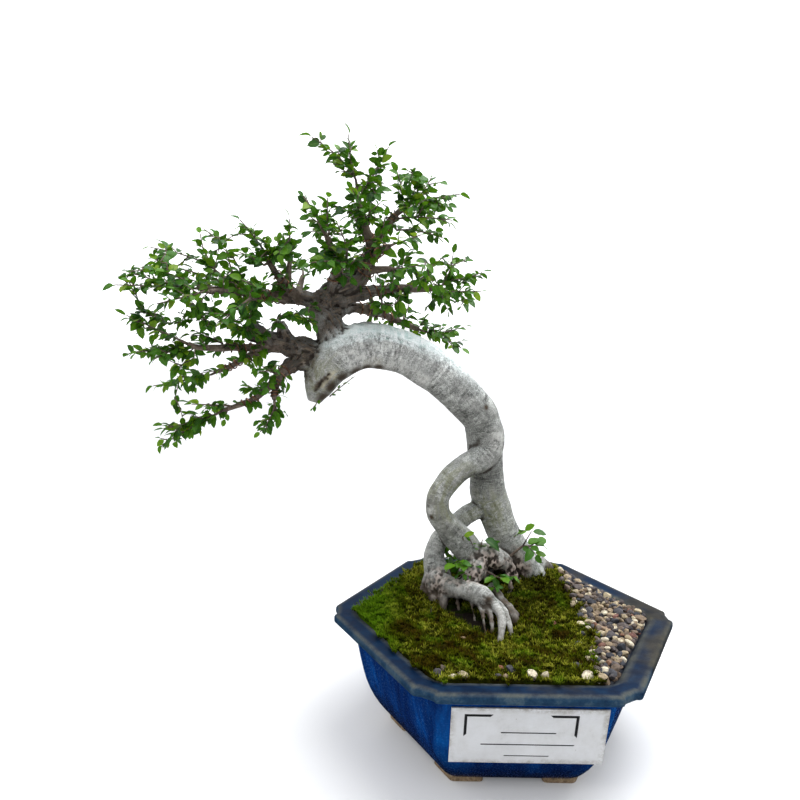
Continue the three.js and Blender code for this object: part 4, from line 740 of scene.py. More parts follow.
def bark_detail(paint, tone, place, streak, band, speck):
    """Streaks along the limb, wrinkles round it, specks, and pale chips in patches."""
    tone = paint.overlay(0.25, tone, streak, (0.32, 0.2), (0.5, 0.5), (0.7, 0.8))
    wrinkled = paint.ramp(paint.noise(place, 40, 3, 0.5), (0.4, 0.25), (0.56, 0.9))
    tone = paint.overlay(wrinkled, tone, band, (0.38, 0.12), (0.5, 0.5), (0.62, 0.86))
    tone = paint.overlay(0.7, tone, speck, (0.38, 0.1), (0.5, 0.5), (0.6, 0.88))
    chip = paint.ramp(paint.noise(place, 400, 6, 0.9), (0.58, 0), (0.63, 1))
    spread = paint.ramp(paint.noise(place, 45, 3), (0.42, 0.05), (0.62, 0.6))
    return paint.mix(paint.times(chip, spread), tone, (0.56, 0.555, 0.52))


def bark_regions_and_shade(paint, tone, streak, fibre, edge):
    """Green, cream, brown and white regions of the bark, and dark knots with painted shade under the arch, in
    the groove and by the hollow.
    """
    region = paint.stored("region")
    stain = paint.stored("stain")
    lined = paint.ramp(streak, (0.42, 0.05), (0.58, 1))
    furred = paint.ramp(fibre, (0.36, 0.85), (0.62, 1))
    brown = paint.ramp(
        fibre, (0.38, (0.022, 0.015, 0.01)), (0.5, (0.056, 0.039, 0.026)), (0.66, (0.17, 0.128, 0.09)),
    )
    tone = paint.mix(patchy(paint, region, "X", lined, 0.7), tone, (0.16, 0.165, 0.08))
    tone = paint.mix(patchy(paint, region, "Y", lined, 0.85), tone, (0.5, 0.45, 0.33))
    tone = paint.mix(patchy(paint, region, "Z", furred, 1), tone, brown)
    tone = paint.mix(patchy(paint, stain, "X", edge, 0.65), tone, (0.64, 0.63, 0.59))
    # Dark knots, and painted shade under the arch, in the groove and by the hollow.
    return paint.mix(paint.part(stain, "Y"), tone, (0.052, 0.034, 0.02))


def bark_of_the_foot(paint, tone, place, foot):
    """Flaky pale and dark bark at the foot of the tree, and dark pores here and there all over."""
    flaky = paint.ramp(
        paint.cells(paint.stretched(place, (1, 1, 0.8)), 320, "SMOOTH_F1"), (0.17, (0.016, 0.011, 0.008)),
        (0.33, (0.1, 0.07, 0.052)), (0.53, (0.48, 0.39, 0.34)),
    )
    worn = paint.ramp(paint.noise(place, 85, 5, 0.7), (0.34, 0.1), (0.5, 0.97))
    tone = paint.mix(paint.times(foot, worn), tone, flaky)
    pore = paint.ramp(paint.cells(place, 420), (0.05, 1), (0.16, 0))
    rare = paint.ramp(paint.noise(place, 60, 3), (0.44, 0), (0.6, 0.8))
    return paint.mix(paint.times(pore, rare), tone, (0.05, 0.043, 0.037))


def bark_shadow(paint, tone, height, facing, hollow, foot, edge):
    """Painted shade in creases, deeper at the foot, and on undersides; and a soil stain near the ground."""
    # Painted shade in creases, deeper at the foot.
    pit = paint.times(paint.ramp(hollow, (0.02, 0), (0.3, 1)), foot)
    sunk = paint.math("MAXIMUM", paint.ramp(hollow, (0.15, 0), (0.85, 0.9)), pit)
    tone = paint.mix(sunk, tone, (0.026, 0.018, 0.012))
    soiled = paint.times(paint.ramp(height, (0.093, 0.85), (0.115, 0)), paint.ramp(edge, (0, 0.55), (1, 1)))
    tone = paint.mix(soiled, tone, (0.09, 0.066, 0.045))
    # Painted shade on faces turned down.
    return paint.mix(paint.ramp(facing, (0.03, 0.4), (0.3, 0)), tone, (0.06, 0.052, 0.04))


def patchy(paint, weights, axis, edge, most):
    """A region's weight, mottled by a noise."""
    return paint.times(paint.times(paint.part(weights, axis), edge), most)


def branch_material():
    """Dark brown-grey bark of the thin branches and twigs."""
    paint = Paint("branch_bark")
    place = paint.place()
    mottle = paint.noise(place, 260, 5, 0.65)
    band = paint.noise(place, 60, 3)
    tone = paint.ramp(
        mottle, (0.3, (0.035, 0.024, 0.018)), (0.5, (0.095, 0.068, 0.05)), (0.72, (0.25, 0.2, 0.16)),
    )
    tone = paint.mix(paint.ramp(band, (0.4, 0), (0.65, 0.6)), tone, (0.16, 0.12, 0.085))
    lift = paint.bump(mottle, 0.7, 0.0007)
    return paint.finish(Base_Color=tone, Roughness=0.82, Normal=lift)


def leaf_material():
    """Small elm leaves: each has its own green, a pale midrib and side veins, and lets some light through."""
    paint = Paint("elm_leaf")
    blade = paint.stored("blade")
    own = paint.stored("own")
    tint = paint.part(own, "X")
    tone = paint.ramp(
        tint, (0, (0.004, 0.035, 0.008)), (0.25, (0.012, 0.075, 0.004)), (0.55, (0.034, 0.14, 0.003)),
        (0.8, (0.085, 0.21, 0.005)), (1, (0.2, 0.3, 0.015)),
    )
    across = paint.math("ABSOLUTE", paint.part(blade, "Y"), 0)
    rib = paint.ramp(across, (0.03, 0.5), (0.12, 0))
    slant = paint.math("SUBTRACT", paint.part(blade, "X"), paint.times(across, 0.35))
    vein = paint.ramp(paint.math("PINGPONG", slant, 0.06), (0, 0.3), (0.014, 0))
    lines = paint.math("MAXIMUM", rib, vein)
    tone = paint.mix(lines, tone, (0.12, 0.2, 0.035))
    mottle = paint.noise(paint.place(), 500, 3, 0.5)
    tone = paint.overlay(0.4, tone, mottle, (0.3, 0.28), (0.7, 0.72))
    lift = paint.bump(lines, 0.35, 0.0004)
    rough = paint.ramp(mottle, (0.3, 0.36), (0.7, 0.5))
    paint.finish(Base_Color=tone, Roughness=rough, Normal=lift, Specular_IOR_Level=0.25)
    glow = paint.node("ShaderNodeBsdfTranslucent", {"Color": paint.mix(0.3, tone, (0.2, 0.42, 0.01))})
    both = paint.node("ShaderNodeMixShader", {0: 0.22, 1: paint.shader.outputs[0], 2: glow.outputs[0]})
    output = paint.tree.nodes["Material Output"]
    paint.tree.links.new(both.outputs[0], output.inputs["Surface"])
    return paint.material


def glaze_material():
    """Cobalt glaze with lighter runs, a painted highlight along its corners, painted shade low on the body,
    and worn to a dull blue grey on the rim.
    """
    paint = Paint("cobalt_glaze")
    place = paint.place()
    height = paint.part(place, "Z")
    # Marks of the rim: its edges, rubbed and with a painted highlight, and its lip, with a painted sheen.
    worn = paint.stored("worn")
    runs = paint.noise(paint.stretched(place, (1, 1, 0.12)), 80, 5, 0.65, 0.4)
    speck = paint.noise(place, 700, 4, 0.7)
    cloud = paint.noise(place, 60, 6, 0.75)
    tone = paint.ramp(
        runs, (0.34, (0.0012, 0.013, 0.078)), (0.5, (0.0018, 0.026, 0.13)), (0.62, (0.002, 0.047, 0.205)),
        (0.76, (0.004, 0.095, 0.35)),
    )
    # Painted highlight: paler streaks along the corners of the body, broken up by the runs.
    turn = paint.math("ARCTAN2", paint.part(place, "Y"), paint.part(place, "X"))
    corner = paint.ramp(paint.math("PINGPONG", turn, math.pi / 6), (0.02, 0.5), (0.12, 0))
    streak = paint.times(corner, paint.ramp(runs, (0.38, 0.1), (0.56, 1)))
    tone = paint.mix(streak, tone, (0.0015, 0.078, 0.28))
    # Painted shade: the body darker towards its foot.
    tone = paint.mix(paint.ramp(height, (0.008, 0.9), (0.045, 0)), tone, (0.001, 0.006, 0.03))
    rim = paint.ramp(height, (0.0885, 0), (0.0905, 1))
    weather = paint.ramp(
        cloud, (0.3, (0.001, 0.005, 0.018)), (0.48, (0.0018, 0.011, 0.033)), (0.62, (0.004, 0.019, 0.048)),
        (0.76, (0.02, 0.042, 0.065)),
    )
    tone = paint.mix(rim, tone, weather)
    # Painted sheen: the outer lip of the rim paler grey blue.
    lip = paint.ramp(
        cloud, (0.34, (0.005, 0.02, 0.05)), (0.5, (0.014, 0.043, 0.084)), (0.68, (0.06, 0.095, 0.12)),
    )
    tone = paint.mix(paint.part(worn, "Y"), tone, lip)
    # Both edges of the rim rubbed pale, which is also their painted highlight.
    edge_wear_and_highlight = paint.times(paint.part(worn, "X"), paint.ramp(cloud, (0.36, 0.15), (0.6, 0.7)))
    tone = paint.mix(edge_wear_and_highlight, tone, (0.085, 0.088, 0.07))
    dusty = paint.math("ADD", paint.noise(place, 14, 3, 0.6), paint.times(paint.part(place, "X"), 2.2))
    grime = paint.times(rim, paint.ramp(dusty, (0.62, 0), (0.76, 0.8)))
    dirt = paint.ramp(cloud, (0.35, (0.014, 0.014, 0.012)), (0.65, (0.05, 0.042, 0.027)))
    tone = paint.mix(grime, tone, dirt)
    tone = paint.overlay(0.3, tone, speck, (0.3, 0.24), (0.7, 0.76))
    smooth = paint.ramp(speck, (0.3, 0.18), (0.7, 0.32))
    rough = paint.mix(rim, smooth, paint.ramp(cloud, (0.35, 0.36), (0.7, 0.6)))
    lift = paint.bump(paint.noise(place, 120, 4), 0.2, 0.001)
    lift = paint.bump(speck, 0.15, 0.0003, lift)
    return paint.finish(Base_Color=tone, Roughness=rough, Normal=lift, Specular_IOR_Level=0.06)


def clay_material():
    """Bare tan clay of the feet."""
    paint = Paint("bare_clay")
    grit = paint.noise(paint.place(), 420, 6, 0.7)
    tone = paint.ramp(grit, (0.3, (0.12, 0.075, 0.04)), (0.5, (0.26, 0.18, 0.1)), (0.7, (0.42, 0.32, 0.2)))
    return paint.finish(Base_Color=tone, Roughness=0.88, Normal=paint.bump(grit, 0.5, 0.0006))


def plate_material():
    """Off-white painted plate, stained by soil and water along its edges."""
    paint = Paint("aged_plate")
    place = paint.place()
    cloud = paint.noise(place, 45, 7, 0.75)
    edge = paint.part(paint.stored("edge"), "X")
    tone = paint.ramp(
        cloud, (0.28, (0.48, 0.48, 0.47)), (0.42, (0.6, 0.6, 0.595)), (0.62, (0.66, 0.665, 0.67)),
    )
    grime = paint.times(edge, paint.ramp(paint.noise(place, 120, 6, 0.8), (0.42, 0), (0.64, 0.85)))
    tone = paint.mix(grime, tone, (0.24, 0.21, 0.16))
    spot = paint.ramp(paint.cells(place, 110), (0.03, 0.7), (0.06, 0))
    tone = paint.mix(spot, tone, (0.3, 0.28, 0.25))
    scratch = paint.noise(paint.stretched(place, (0.25, 1, 1)), 700, 3)
    rough = paint.ramp(cloud, (0.3, 0.6), (0.7, 0.42))
    return paint.finish(Base_Color=tone, Roughness=rough, Normal=paint.bump(scratch, 0.15, 0.0003))


def ink_material():
    """Worn black paint."""
    paint = Paint("black_paint")
    chip = paint.noise(paint.place(), 900, 4, 0.7)
    tone = paint.ramp(chip, (0.55, (0.012, 0.012, 0.013)), (0.72, (0.09, 0.09, 0.09)))
    return paint.finish(Base_Color=tone, Roughness=0.55)


def soil_material():
    """Dark damp potting soil."""
    paint = Paint("dark_soil")
    crumb = paint.noise(paint.place(), 420, 7, 0.75)
    tone = paint.ramp(
        crumb, (0.3, (0.003, 0.002, 0.0015)), (0.6, (0.009, 0.006, 0.004)), (0.8, (0.04, 0.028, 0.019)),
    )
    lift = paint.bump(crumb, 0.9, 0.002)
    return paint.finish(Base_Color=tone, Roughness=0.95, Normal=lift, Specular_IOR_Level=0.1)


def moss_material():
    """Moss: fresh green at the left, olive and brown in the middle, with painted shade by the trunk, in dips
    and the hollow and at the heart of each shoot.
    """
    paint = Paint("moss")
    place = paint.place()
    own = paint.stored("own")
    patch = paint.noise(place, 42, 4, 0.65)
    mixed = paint.math("ADD", paint.times(patch, 0.9), paint.times(paint.part(own, "X"), 0.5))
    tone = paint.ramp(
        mixed, (0.38, (0.06, 0.03, 0.004)), (0.52, (0.088, 0.055, 0.003)), (0.64, (0.082, 0.086, 0.001)),
        (0.8, (0.13, 0.175, 0.002)), (0.95, (0.55, 0.55, 0.06)),
    )
    tone = paint.mix(paint.part(own, "Y"), tone, (0.14, 0.31, 0.006))
    # Painted shade, by the share each point carries.
    tone = paint.mix(paint.part(own, "Z"), tone, (0.007, 0.011, 0.002))
    grain = paint.noise(place, 700, 4, 0.7)
    tone = paint.overlay(0.6, tone, grain, (0.3, 0.2), (0.7, 0.8))
    lift = paint.bump(grain, 0.6, 0.001)
    return paint.finish(Base_Color=tone, Roughness=0.85, Normal=lift, Specular_IOR_Level=0.03)


def stone_material():
    """Pebbles of slate, brown, tan and cream."""
    paint = Paint("pebbles")
    place = paint.place()
    own = paint.stored("own")
    tone = paint.ramp(
        paint.part(own, "X"), (0, (0.028, 0.031, 0.04)), (0.25, (0.055, 0.052, 0.058)),
        (0.45, (0.095, 0.075, 0.068)), (0.62, (0.15, 0.105, 0.07)), (0.78, (0.28, 0.21, 0.13)),
        (0.9, (0.42, 0.35, 0.23)), (0.98, (0.57, 0.51, 0.39)),
    )
    tone = paint.mix(paint.part(own, "Y"), tone, (0.2, 0.07, 0.04))
    mottle = paint.noise(place, 420, 6, 0.7)
    tone = paint.overlay(0.9, tone, mottle, (0.3, 0.14), (0.7, 0.84))
    lift = paint.bump(mottle, 0.5, 0.0006)
    return paint.finish(Base_Color=tone, Roughness=0.7, Normal=lift, Specular_IOR_Level=0.25)


def wire_material():
    """Copper-coloured training wire, dulled in places."""
    paint = Paint("training_wire")
    dull = paint.noise(paint.place(), 260, 4)
    tone = paint.ramp(dull, (0.35, (0.12, 0.055, 0.035)), (0.55, (0.34, 0.17, 0.1)), (0.7, (0.7, 0.42, 0.28)))
    rough = paint.ramp(dull, (0.3, 0.5), (0.7, 0.25))
    return paint.finish(Base_Color=tone, Roughness=rough, Metallic=0.8, Normal=paint.bump(dull, 0.2, 0.0003))


def mesh_material():
    """Dark plastic of the drain screens."""
    paint = Paint("screen_plastic")
    rub = paint.noise(paint.place(), 500, 4)
    tone = paint.ramp(rub, (0.3, (0.012, 0.014, 0.016)), (0.7, (0.05, 0.052, 0.055)))
    return paint.finish(Base_Color=tone, Roughness=0.6, Normal=paint.bump(rub, 0.2, 0.0003))


def weight_of(place, spots):
    """How strongly a place, in metres, lies in one of several round regions with ragged edges."""
    ragged = 1 + BARK["ragged"] * noise.noise(place / (BARK["ragged_scale"] * MM))
    return max(1 - smoothstep((place - Vector(middle) * MM).length * ragged, reach * MM * 0.25, reach * MM)
               for middle, reach in spots)


def thick_lines():
    """All centre lines that are part of the trunk's skin."""
    lines = [TRUNK, LOOP, CROSS_LEG, *ROOT_BASE, *ROOTS]
    for line in BRANCHES.values():
        thick = [p for p in line if p[3] >= FINE_BRANCH]
        if len(thick) > 1:
            lines.append(line[:len(thick) + 1])
    return lines


def wood_skin(lines):
    """One even skin over all the thick wood."""
    rough = Shape()
    for line in lines:
        tube(rough, spline(line, 4), SIDES["wood"])
    block = placed("wood_block", rough.mesh("wood_block"))
    grid = block.modifiers.new("grid", "REMESH")
    grid.mode = "VOXEL"
    grid.voxel_size = BARK["voxel"] * MM
    ease = block.modifiers.new("ease", "SMOOTH")
    ease.factor = 0.5
    ease.iterations = BARK["easing"]
    shaped = block.evaluated_get(bpy.context.evaluated_depsgraph_get())
    mesh = bpy.data.meshes.new_from_object(shaped)
    bpy.data.objects.remove(block)
    return mesh


def grain_finder(lines):
    """A search tree over the centre lines, with the frame and running length at each of its points."""
    samples = []
    for number, line in enumerate(lines):
        smooth = spline(line, 3)
        run = 50.0 * number
        for i, (point, turn) in enumerate(zip(smooth, frames(smooth))):
            run += (point.xyz - smooth[i - 1].xyz).length if i else 0
            samples.append((point, turn, run))
    tree = kdtree.KDTree(len(samples))
    for i, (point, _, _) in enumerate(samples):
        tree.insert(point.xyz * MM, i)
    tree.balance()
    return tree, samples


def drawn_out(grain, along, across, *detail):
    """Noise drawn out along the limb."""
    return noise.fractal(Vector((grain.x / along, grain.y / across, grain.z / across)), *detail)


def bark_height(place, grain, foot, brown):
    """How far the bark stands out at a place, in millimetres."""
    lump = noise.noise(place / (BARK["lump_scale"] * MM))
    ripple = drawn_out(grain, *STREAKS)
    pit = noise.noise(place / (BARK["pit_scale"] * MM))
    height = BARK["lump"] * lump + BARK["streak"] * ripple + BARK["pit"] * pit
    height -= BARK["groove"] * weight_of(place, GROOVE)
    if foot > 0:
        knob = noise.voronoi(place / (BARK["knob_scale"] * MM))[0][0]
        pore = max(BARK["pore_reach"] - noise.voronoi(place / (BARK["pore_scale"] * MM))[0][0], 0)
        height += foot * (BARK["knob"] * (0.5 - knob) - BARK["pore"] * pore + BARK["foot_pit"] * pit)
    if brown > 0:
        height += brown * (BARK["fibre"] * drawn_out(grain, *FIBRES) + BARK["brown_pit"] * pit)
    return height


def creases(mesh):
    """How deep a crease and how sharp a ridge each point lies in, and how far it faces up, from 0 to 1."""
    count = len(mesh.vertices)
    places = np.empty(3 * count)
    mesh.vertices.foreach_get("co", places)
    places = places.reshape(-1, 3)
    edges = np.empty(2 * len(mesh.edges), dtype=np.int64)
    mesh.edges.foreach_get("vertices", edges)
    edges = np.concatenate([edges.reshape(-1, 2), edges.reshape(-1, 2)[:, ::-1]])
    number = np.bincount(edges[:, 0], minlength=count)
    smooth = places.copy()
    for _ in range(CREASE["spread"]):
        columns = [np.bincount(edges[:, 0], smooth[edges[:, 1], axis], count) for axis in range(3)]
        smooth = np.stack(columns, axis=1) / number[:, None]
    normals = np.array([v.vector for v in mesh.vertex_normals])
    depth = ((smooth - places) * normals).sum(axis=1) / (CREASE["depth"] * MM)
    facing = 0.5 + 0.5 * normals[:, 2]
    return list(zip(depth.clip(0, 1), (-depth).clip(0, 1), facing))


def make_wood(bark):
    """Trunk, loop, cross leg, roots and thick branches in one skin, in place of the wood node."""
    lines = thick_lines()
    mesh = wood_skin(lines)
    tree, samples = grain_finder(lines)
    normals = [v.vector.copy() for v in mesh.vertex_normals]
    grains = []
    regions = []
    stains = []
    for vertex, normal in zip(mesh.vertices, normals):
        place = vertex.co.copy()
        point, (_, side, other), run = samples[tree.find(place)[1]]
        out = place / MM - point.xyz
        grain = Vector((run, out.dot(side), out.dot(other)))
        foot = weight_of(place, FOOT_BARK)
        brown = weight_of(place, BROWN_BARK)
        vertex.co = place + normal * bark_height(place, grain, foot, brown) * MM
        grains.append(grain * MM)
        regions.append((weight_of(place, GREEN_BARK), weight_of(place, CREAM_BARK), brown))
        # White patches; dark knots with painted shade; and the foot.
        stains.append((weight_of(place, WHITE_BARK), weight_of(place, DARK_KNOTS_AND_SHADE), foot))
    mesh.update()
    store(mesh, "grain", grains)
    store(mesh, "region", regions)
    store(mesh, "stain", stains)
    store(mesh, "crease", creases(mesh))
    mesh.polygons.foreach_set("use_smooth", [True] * len(mesh.polygons))
    piece("bark_skin", mesh, [bark], ["elm_wood"])


def make_branches(bark):
    """The thin branches as fine tubes that start inside the thick wood."""
    noise.seed_set(FINE["seed"])
    shape = Shape()
    for line in BRANCHES.values():
        thick = len([p for p in line if p[3] >= FINE_BRANCH])
        rest = line[max(thick - 1, 0) :]
        if len(rest) < 2:
            continue
        fine = spline(rest, 2)
        for point in fine:
            point.xyz = point.xyz + noise.noise_vector(point.xyz / FINE["wobble_scale"]) * FINE["wobble"]
            swell = 1 + FINE["swell"] * noise.noise(point.xyz / FINE["swell_scale"])
            point.w = max(point.w * swell, FINE["least"])
        tube(shape, fine, SIDES["branch"])
    shape.piece("fine_branches", [bark], "bark")


def leaf(shape, start, ahead, up, size, rng, tint):
    """One toothed blade on a stalk, folded along its midrib and drooping to its tip."""
    side = ahead.cross(up).normalized()
    up = side.cross(ahead).normalized()
    length = LEAF["length"] * size
    half = LEAF["width"] * size / 2
    fold = LEAF["fold"] * rng.uniform(*LEAF_CHANCE["fold"])
    droop = LEAF["droop"] * rng.uniform(*LEAF_CHANCE["droop"])
    twist = rng.uniform(-LEAF["twist"], LEAF["twist"])
    base = start + ahead * LEAF["stalk"] * size
    points = []
    places = []
    for k, (share, wide) in enumerate(BLADE):
        middle = base + ahead * length * share - up * length * droop * share**2
        middle += side * length * twist * LEAF["sweep"] * share**2
        tooth = 1 + TOOTH * (1 if k % 2 else -1)
        points.append(middle)
        places.append((share, 0, 0))
        if 0 < k < len(BLADE) - 1:
            for way in (-1, 1):
                lift = up * fold * wide * half
                points.append(middle + side * way * wide * half * tooth + lift)
                places.append((share, way, 0))
    faces = [(0, 3, 1), (0, 1, 2)]
    for k in range(1, len(BLADE) - 2):
        a = 3 * k - 2
        faces.append((a, a + 2, a + 5, a + 3))
        faces.append((a, a + 3, a + 4, a + 1))
    last = len(points) - 1
    faces.append((last - 3, last - 1, last))
    faces.append((last - 3, last, last - 2))
    points = [p * MM for p in points]
    shape.add(points, faces, 0, blade=places, own=(tint, rng.random(), 0))
    stalk = [Vector((*start, LEAF["stalk_foot"])), Vector((*base, LEAF["stalk_end"]))]
    tube(shape, stalk, SIDES["stalk"], 1)


def leaf_tint(rng, young):
    """Most leaves are mid green; some are dark and blue, a few are young and yellow."""
    tint = rng.gauss(TINT["middle"], TINT["spread"])
    if young or rng.random() < TINT["bright_share"]:
        tint = rng.uniform(*TINT["young" if young else "bright"])
    return min(max(tint, 0), 1)


def shoot_line(start, heading, tip, rng, size, thick):
    """A bending line of twig that stops short of its tip by most of a leaf, and its length."""
    reach = (tip - start).length
    sway = Vector([rng.uniform(-1, 1) for _ in range(3)]) * TWIG["sway"] * min(reach / TWIG["long"], 1)
    control = start + heading * TWIG["bend"] * reach + sway
    stem = max(1 - TWIG["short_by"] * LEAF["length"] * size / reach, TWIG["least"])
    count = max(3, round(reach * stem / TWIG["step"]))
    line = []
    for i in range(count + 1):
        t = stem * i / count
        place = start * (1 - t) ** 2 + control * 2 * t * (1 - t) + tip * t**2
        radius = TWIG["radius"] + (TWIG["tip"] - TWIG["radius"]) * i / count
        line.append(Vector((*place, radius * thick)))
    return line, reach * stem


def leaf_turn(ahead, other, way, rng, last):
    """Side of the twig, direction and upper side of a leaf; the last one carries on from the twig."""
    level = ahead.cross(UP)
    level = level.normalized() if level.length > TWIG["upright"] else other
    side = Quaternion(ahead, rng.gauss(0, LEAF_CHANCE["roll"])) @ level * way
    up = side.cross(ahead) if side.cross(ahead).z > 0 else ahead.cross(side)
    spread = rng.uniform(*LEAF_CHANCE["spread"])
    out = ahead * math.cos(spread) + side * math.sin(spread)
    out = (out - UP * rng.uniform(*LEAF_CHANCE["fall"])).normalized()
    if last:
        out = (ahead + side * LEAF["end_turn"]).normalized()
    lean = Vector([rng.gauss(*share) for share in LEAF_CHANCE["lean"]])
    return side, out, (up + lean).normalized()


def shoot(shape, start, heading, tip, rng, gap, size, young=False, twiglets=True):
    """A bending twig with alternate leaves, and side twiglets near its start; gives back its line."""
    line, length = shoot_line(start, heading, tip, rng, size, 1 if twiglets else TWIG["thin"])
    turns = frames(line)
    tube(shape, line, SIDES["twig"], 1, turns)
    count = len(line) - 1
    first = TWIG["first_leaf"]
    nodes = max(2, round(length / gap))
    way = rng.choice((-1, 1))
    for n in range(nodes + 1):
        at = min(round((n + first) / (nodes + first) * count), count)
        point = line[at].xyz
        ahead = turns[at][0]
        side, out, face = leaf_turn(ahead, turns[at][1], way, rng, n == nodes)
        way = -way
        scale = size * rng.uniform(LEAF["least"], LEAF["most"]) * (LEAF["end"] if n > nodes - 2 else 1)
        leaf(shape, point, out, face, scale, rng, leaf_tint(rng, young or n == nodes))
        if twiglets and 0 < n < nodes - 1 and rng.random() < TWIGLET["chance"]:
            far = rng.uniform(TWIGLET["least"], TWIGLET["most"])
            turn = ahead * TWIGLET["ahead"] - side * rng.uniform(*TWIGLET["side"])
            turn = (turn + UP * rng.uniform(*TWIGLET["up"])).normalized()
            end = point + turn * far
            shoot(shape, point, turn, end, rng, TWIGLET["gap"], size * TWIGLET["size"], young, False)
    return line


def nearest_on_wood(place, lines):
    """The nearest place on the branch centre lines, with its radius and direction."""
    best = None
    for line in lines:
        for a, b in zip(line, line[1:]):
            start = Vector(a[:3])
            along = Vector(b[:3]) - start
            share = min(max((place - start).dot(along) / along.length_squared, 0), 1)
            point = start + along * share
            far = (point - place).length
            if best is None or far < best[0]:
                best = (far, point, along.normalized())
    return best


def make_sprays(leaf_look, twig_look):
    """One piece for each spray of the part, along the same shoots."""
    lines = [*BRANCHES.values(), TRUNK, LOOP, *ROOT_BASE]
    for number, (name, (base, tips)) in enumerate({**SPRAYS, **BASE_SHOOTS}.items()):
        rng = random.Random(500 + number)
        young = name in BASE_SHOOTS
        size = YOUNG_SIZE if young else 1
        place = Vector(base)
        heart = sum((Vector(tip) for tip in tips), Vector()) / len(tips)
        _, root, ahead = nearest_on_wood(place, lines)
        heading = ((heart - place).normalized() + ahead * TWIG["along"]).normalized()
        shape = Shape()
        foot = [Vector((*root, TWIG["root"])), Vector((*place, TWIG["foot"]))]
        tube(shape, foot, SIDES["foot"], 1)
        for tip in tips:
            shoot(shape, place, heading, Vector(tip), rng, LEAF["gap"], size, young)
        shape.piece(name + "_leaves", [leaf_look, twig_look], "leaf", [name])


def make_low_leaves(leaf_look, twig_look):
    """The other young shoots at the foot, on the arch and in the moss, and a few broad single leaves."""
    rng = random.Random(640)
    shape = Shape()
    for start, tip, share in LOW_SHOOTS:
        start, tip = Vector(start), Vector(tip)
        size = YOUNG_SIZE * share * LOW_SHOOT_SIZE
        shoot(shape, start, (tip - start).normalized(), tip, rng, TWIGLET["gap"], size, True, False)
    for root, start, ahead, size, tint in BROAD_LEAVES:
        stalk = [Vector((*root, TWIG["broad_foot"])), Vector((*start, TWIG["broad_end"]))]
        tube(shape, stalk, SIDES["twig"], 1)
        leaf(shape, Vector(start), Vector(ahead).normalized(), Vector((0, -0.5, 1)), size, rng, tint)
    shape.piece("low_leaves", [leaf_look, twig_look], "leaf")


def random_direction(rng):
    """A direction by seeded chance."""
    return Vector([rng.gauss(0, 1) for _ in range(3)]).normalized()


def canopy_places(rng, wood):
    """Places in the masses of the canopy: distance to the nearest wood, place, that wood and mass."""
    waiting = []
    for name, masses in CANOPY.items():
        for middle, size, count in masses:
            for _ in range(count):
                spread = random_direction(rng) * rng.random() ** CANOPY_TWIG["crowding"]
                place = Vector([m + a * b for m, a, b in zip(middle, size, spread)])
                source = min(wood, key=lambda point: (point - place).length_squared)
                waiting.append([(source - place).length, place, source, name])
    return waiting


def make_canopy(leaf_look, twig_look):
    """Twigs that each grow from the nearest wood or older twig, into the rounded masses of the canopy."""
    rng = random.Random(91)
    branches = [line for name, line in BRANCHES.items() if name != "neck"]
    waiting = canopy_places(rng, [point.xyz for line in branches for point in spline(line, 3)[3:]])
    shapes = {name: Shape() for name in CANOPY}
    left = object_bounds()[0][0] / MM + CANOPY_TWIG["inside"]
    while waiting:
        nearest = min(range(len(waiting)), key=lambda k: waiting[k][0])
        far, place, source, name = waiting.pop(nearest)
        if far < CANOPY_TWIG["least"] or place.x < left:
            continue
        rise = Vector((0, 0, rng.uniform(*CANOPY_TWIG["rise"])))
        heading = ((place - source).normalized() + rise).normalized()
        start = source
        if far > CANOPY_TWIG["most"]:
            start = place + (source - place) * CANOPY_TWIG["most"] / far
            stem = [Vector((*source, 1)), Vector((*(start + (place - source) * 0.02), 0.9))]
            tube(shapes[name], stem, SIDES["twig"], 1)
        line = shoot(shapes[name], start, heading, place, rng, CANOPY_TWIG["gap"], 1, False, False)
        for point in line[2:]:
            for other in waiting:
                close = (point.xyz - other[1]).length
                if close < other[0]:
                    other[0] = close
                    other[2] = point.xyz
    for name, shape in shapes.items():
        shape.piece(name, [leaf_look, twig_look], "leaf")


def make_spurs(leaf_look, twig_look):
    """Short leafy spurs along the thin branches, which fill the inside of the canopy."""
    rng = random.Random(77)
    shape = Shape()
    for name, line in BRANCHES.items():
        if name == "neck":
            continue
        travelled = 0
        smooth = spline(line, 2)
        for before, point, (ahead, side, other) in zip(smooth, smooth[1:], frames(smooth)[1:]):
            travelled += (point.xyz - before.xyz).length
            if travelled < SPUR["gap"] or point.w > FINE_BRANCH:
                continue
            travelled = rng.uniform(-SPUR["loose"], SPUR["loose"])
            angle = rng.uniform(0, 2 * math.pi)
            away = side * math.cos(angle) + other * math.sin(angle)
            away = (away + UP * SPUR["rise"] + ahead * SPUR["ahead"]).normalized()
            end = point.xyz + away * rng.uniform(SPUR["least"], SPUR["most"])
            shoot(shape, point.xyz, away, end, rng, TWIGLET["gap"], SPUR["size"], False, False)
    shape.piece("inner_leaves", [leaf_look, twig_look], "leaf")


def wall_distance(x, y):
    """Distance from a place, in millimetres, to the pot's inner wall at soil level."""
    flat = POT["wall_radius"] * math.cos(math.pi / 6)
    turns = [math.pi / 6 + math.pi / 3 * k for k in range(6)]
    return min(flat - x * math.cos(turn) - y * math.sin(turn) for turn in turns)


def ground_level(x, y):
    """Height of the soil: heaped near the wall, sunk along it, with mounds."""
    mound = sum(high * math.exp(-((x - mx) ** 2 + (y - my) ** 2) / (2 * wide**2))
                for mx, my, high, wide in MOUNDS)
    wall = wall_distance(x, y)
    heaped = GROUND["heap"] * (1 - smoothstep(wall, GROUND["slope"], GROUND["heap_reach"]))
    return GROUND["wall_level"] + heaped + smoothstep(wall, 0, GROUND["slope"]) * (GROUND["rise"] + mound)


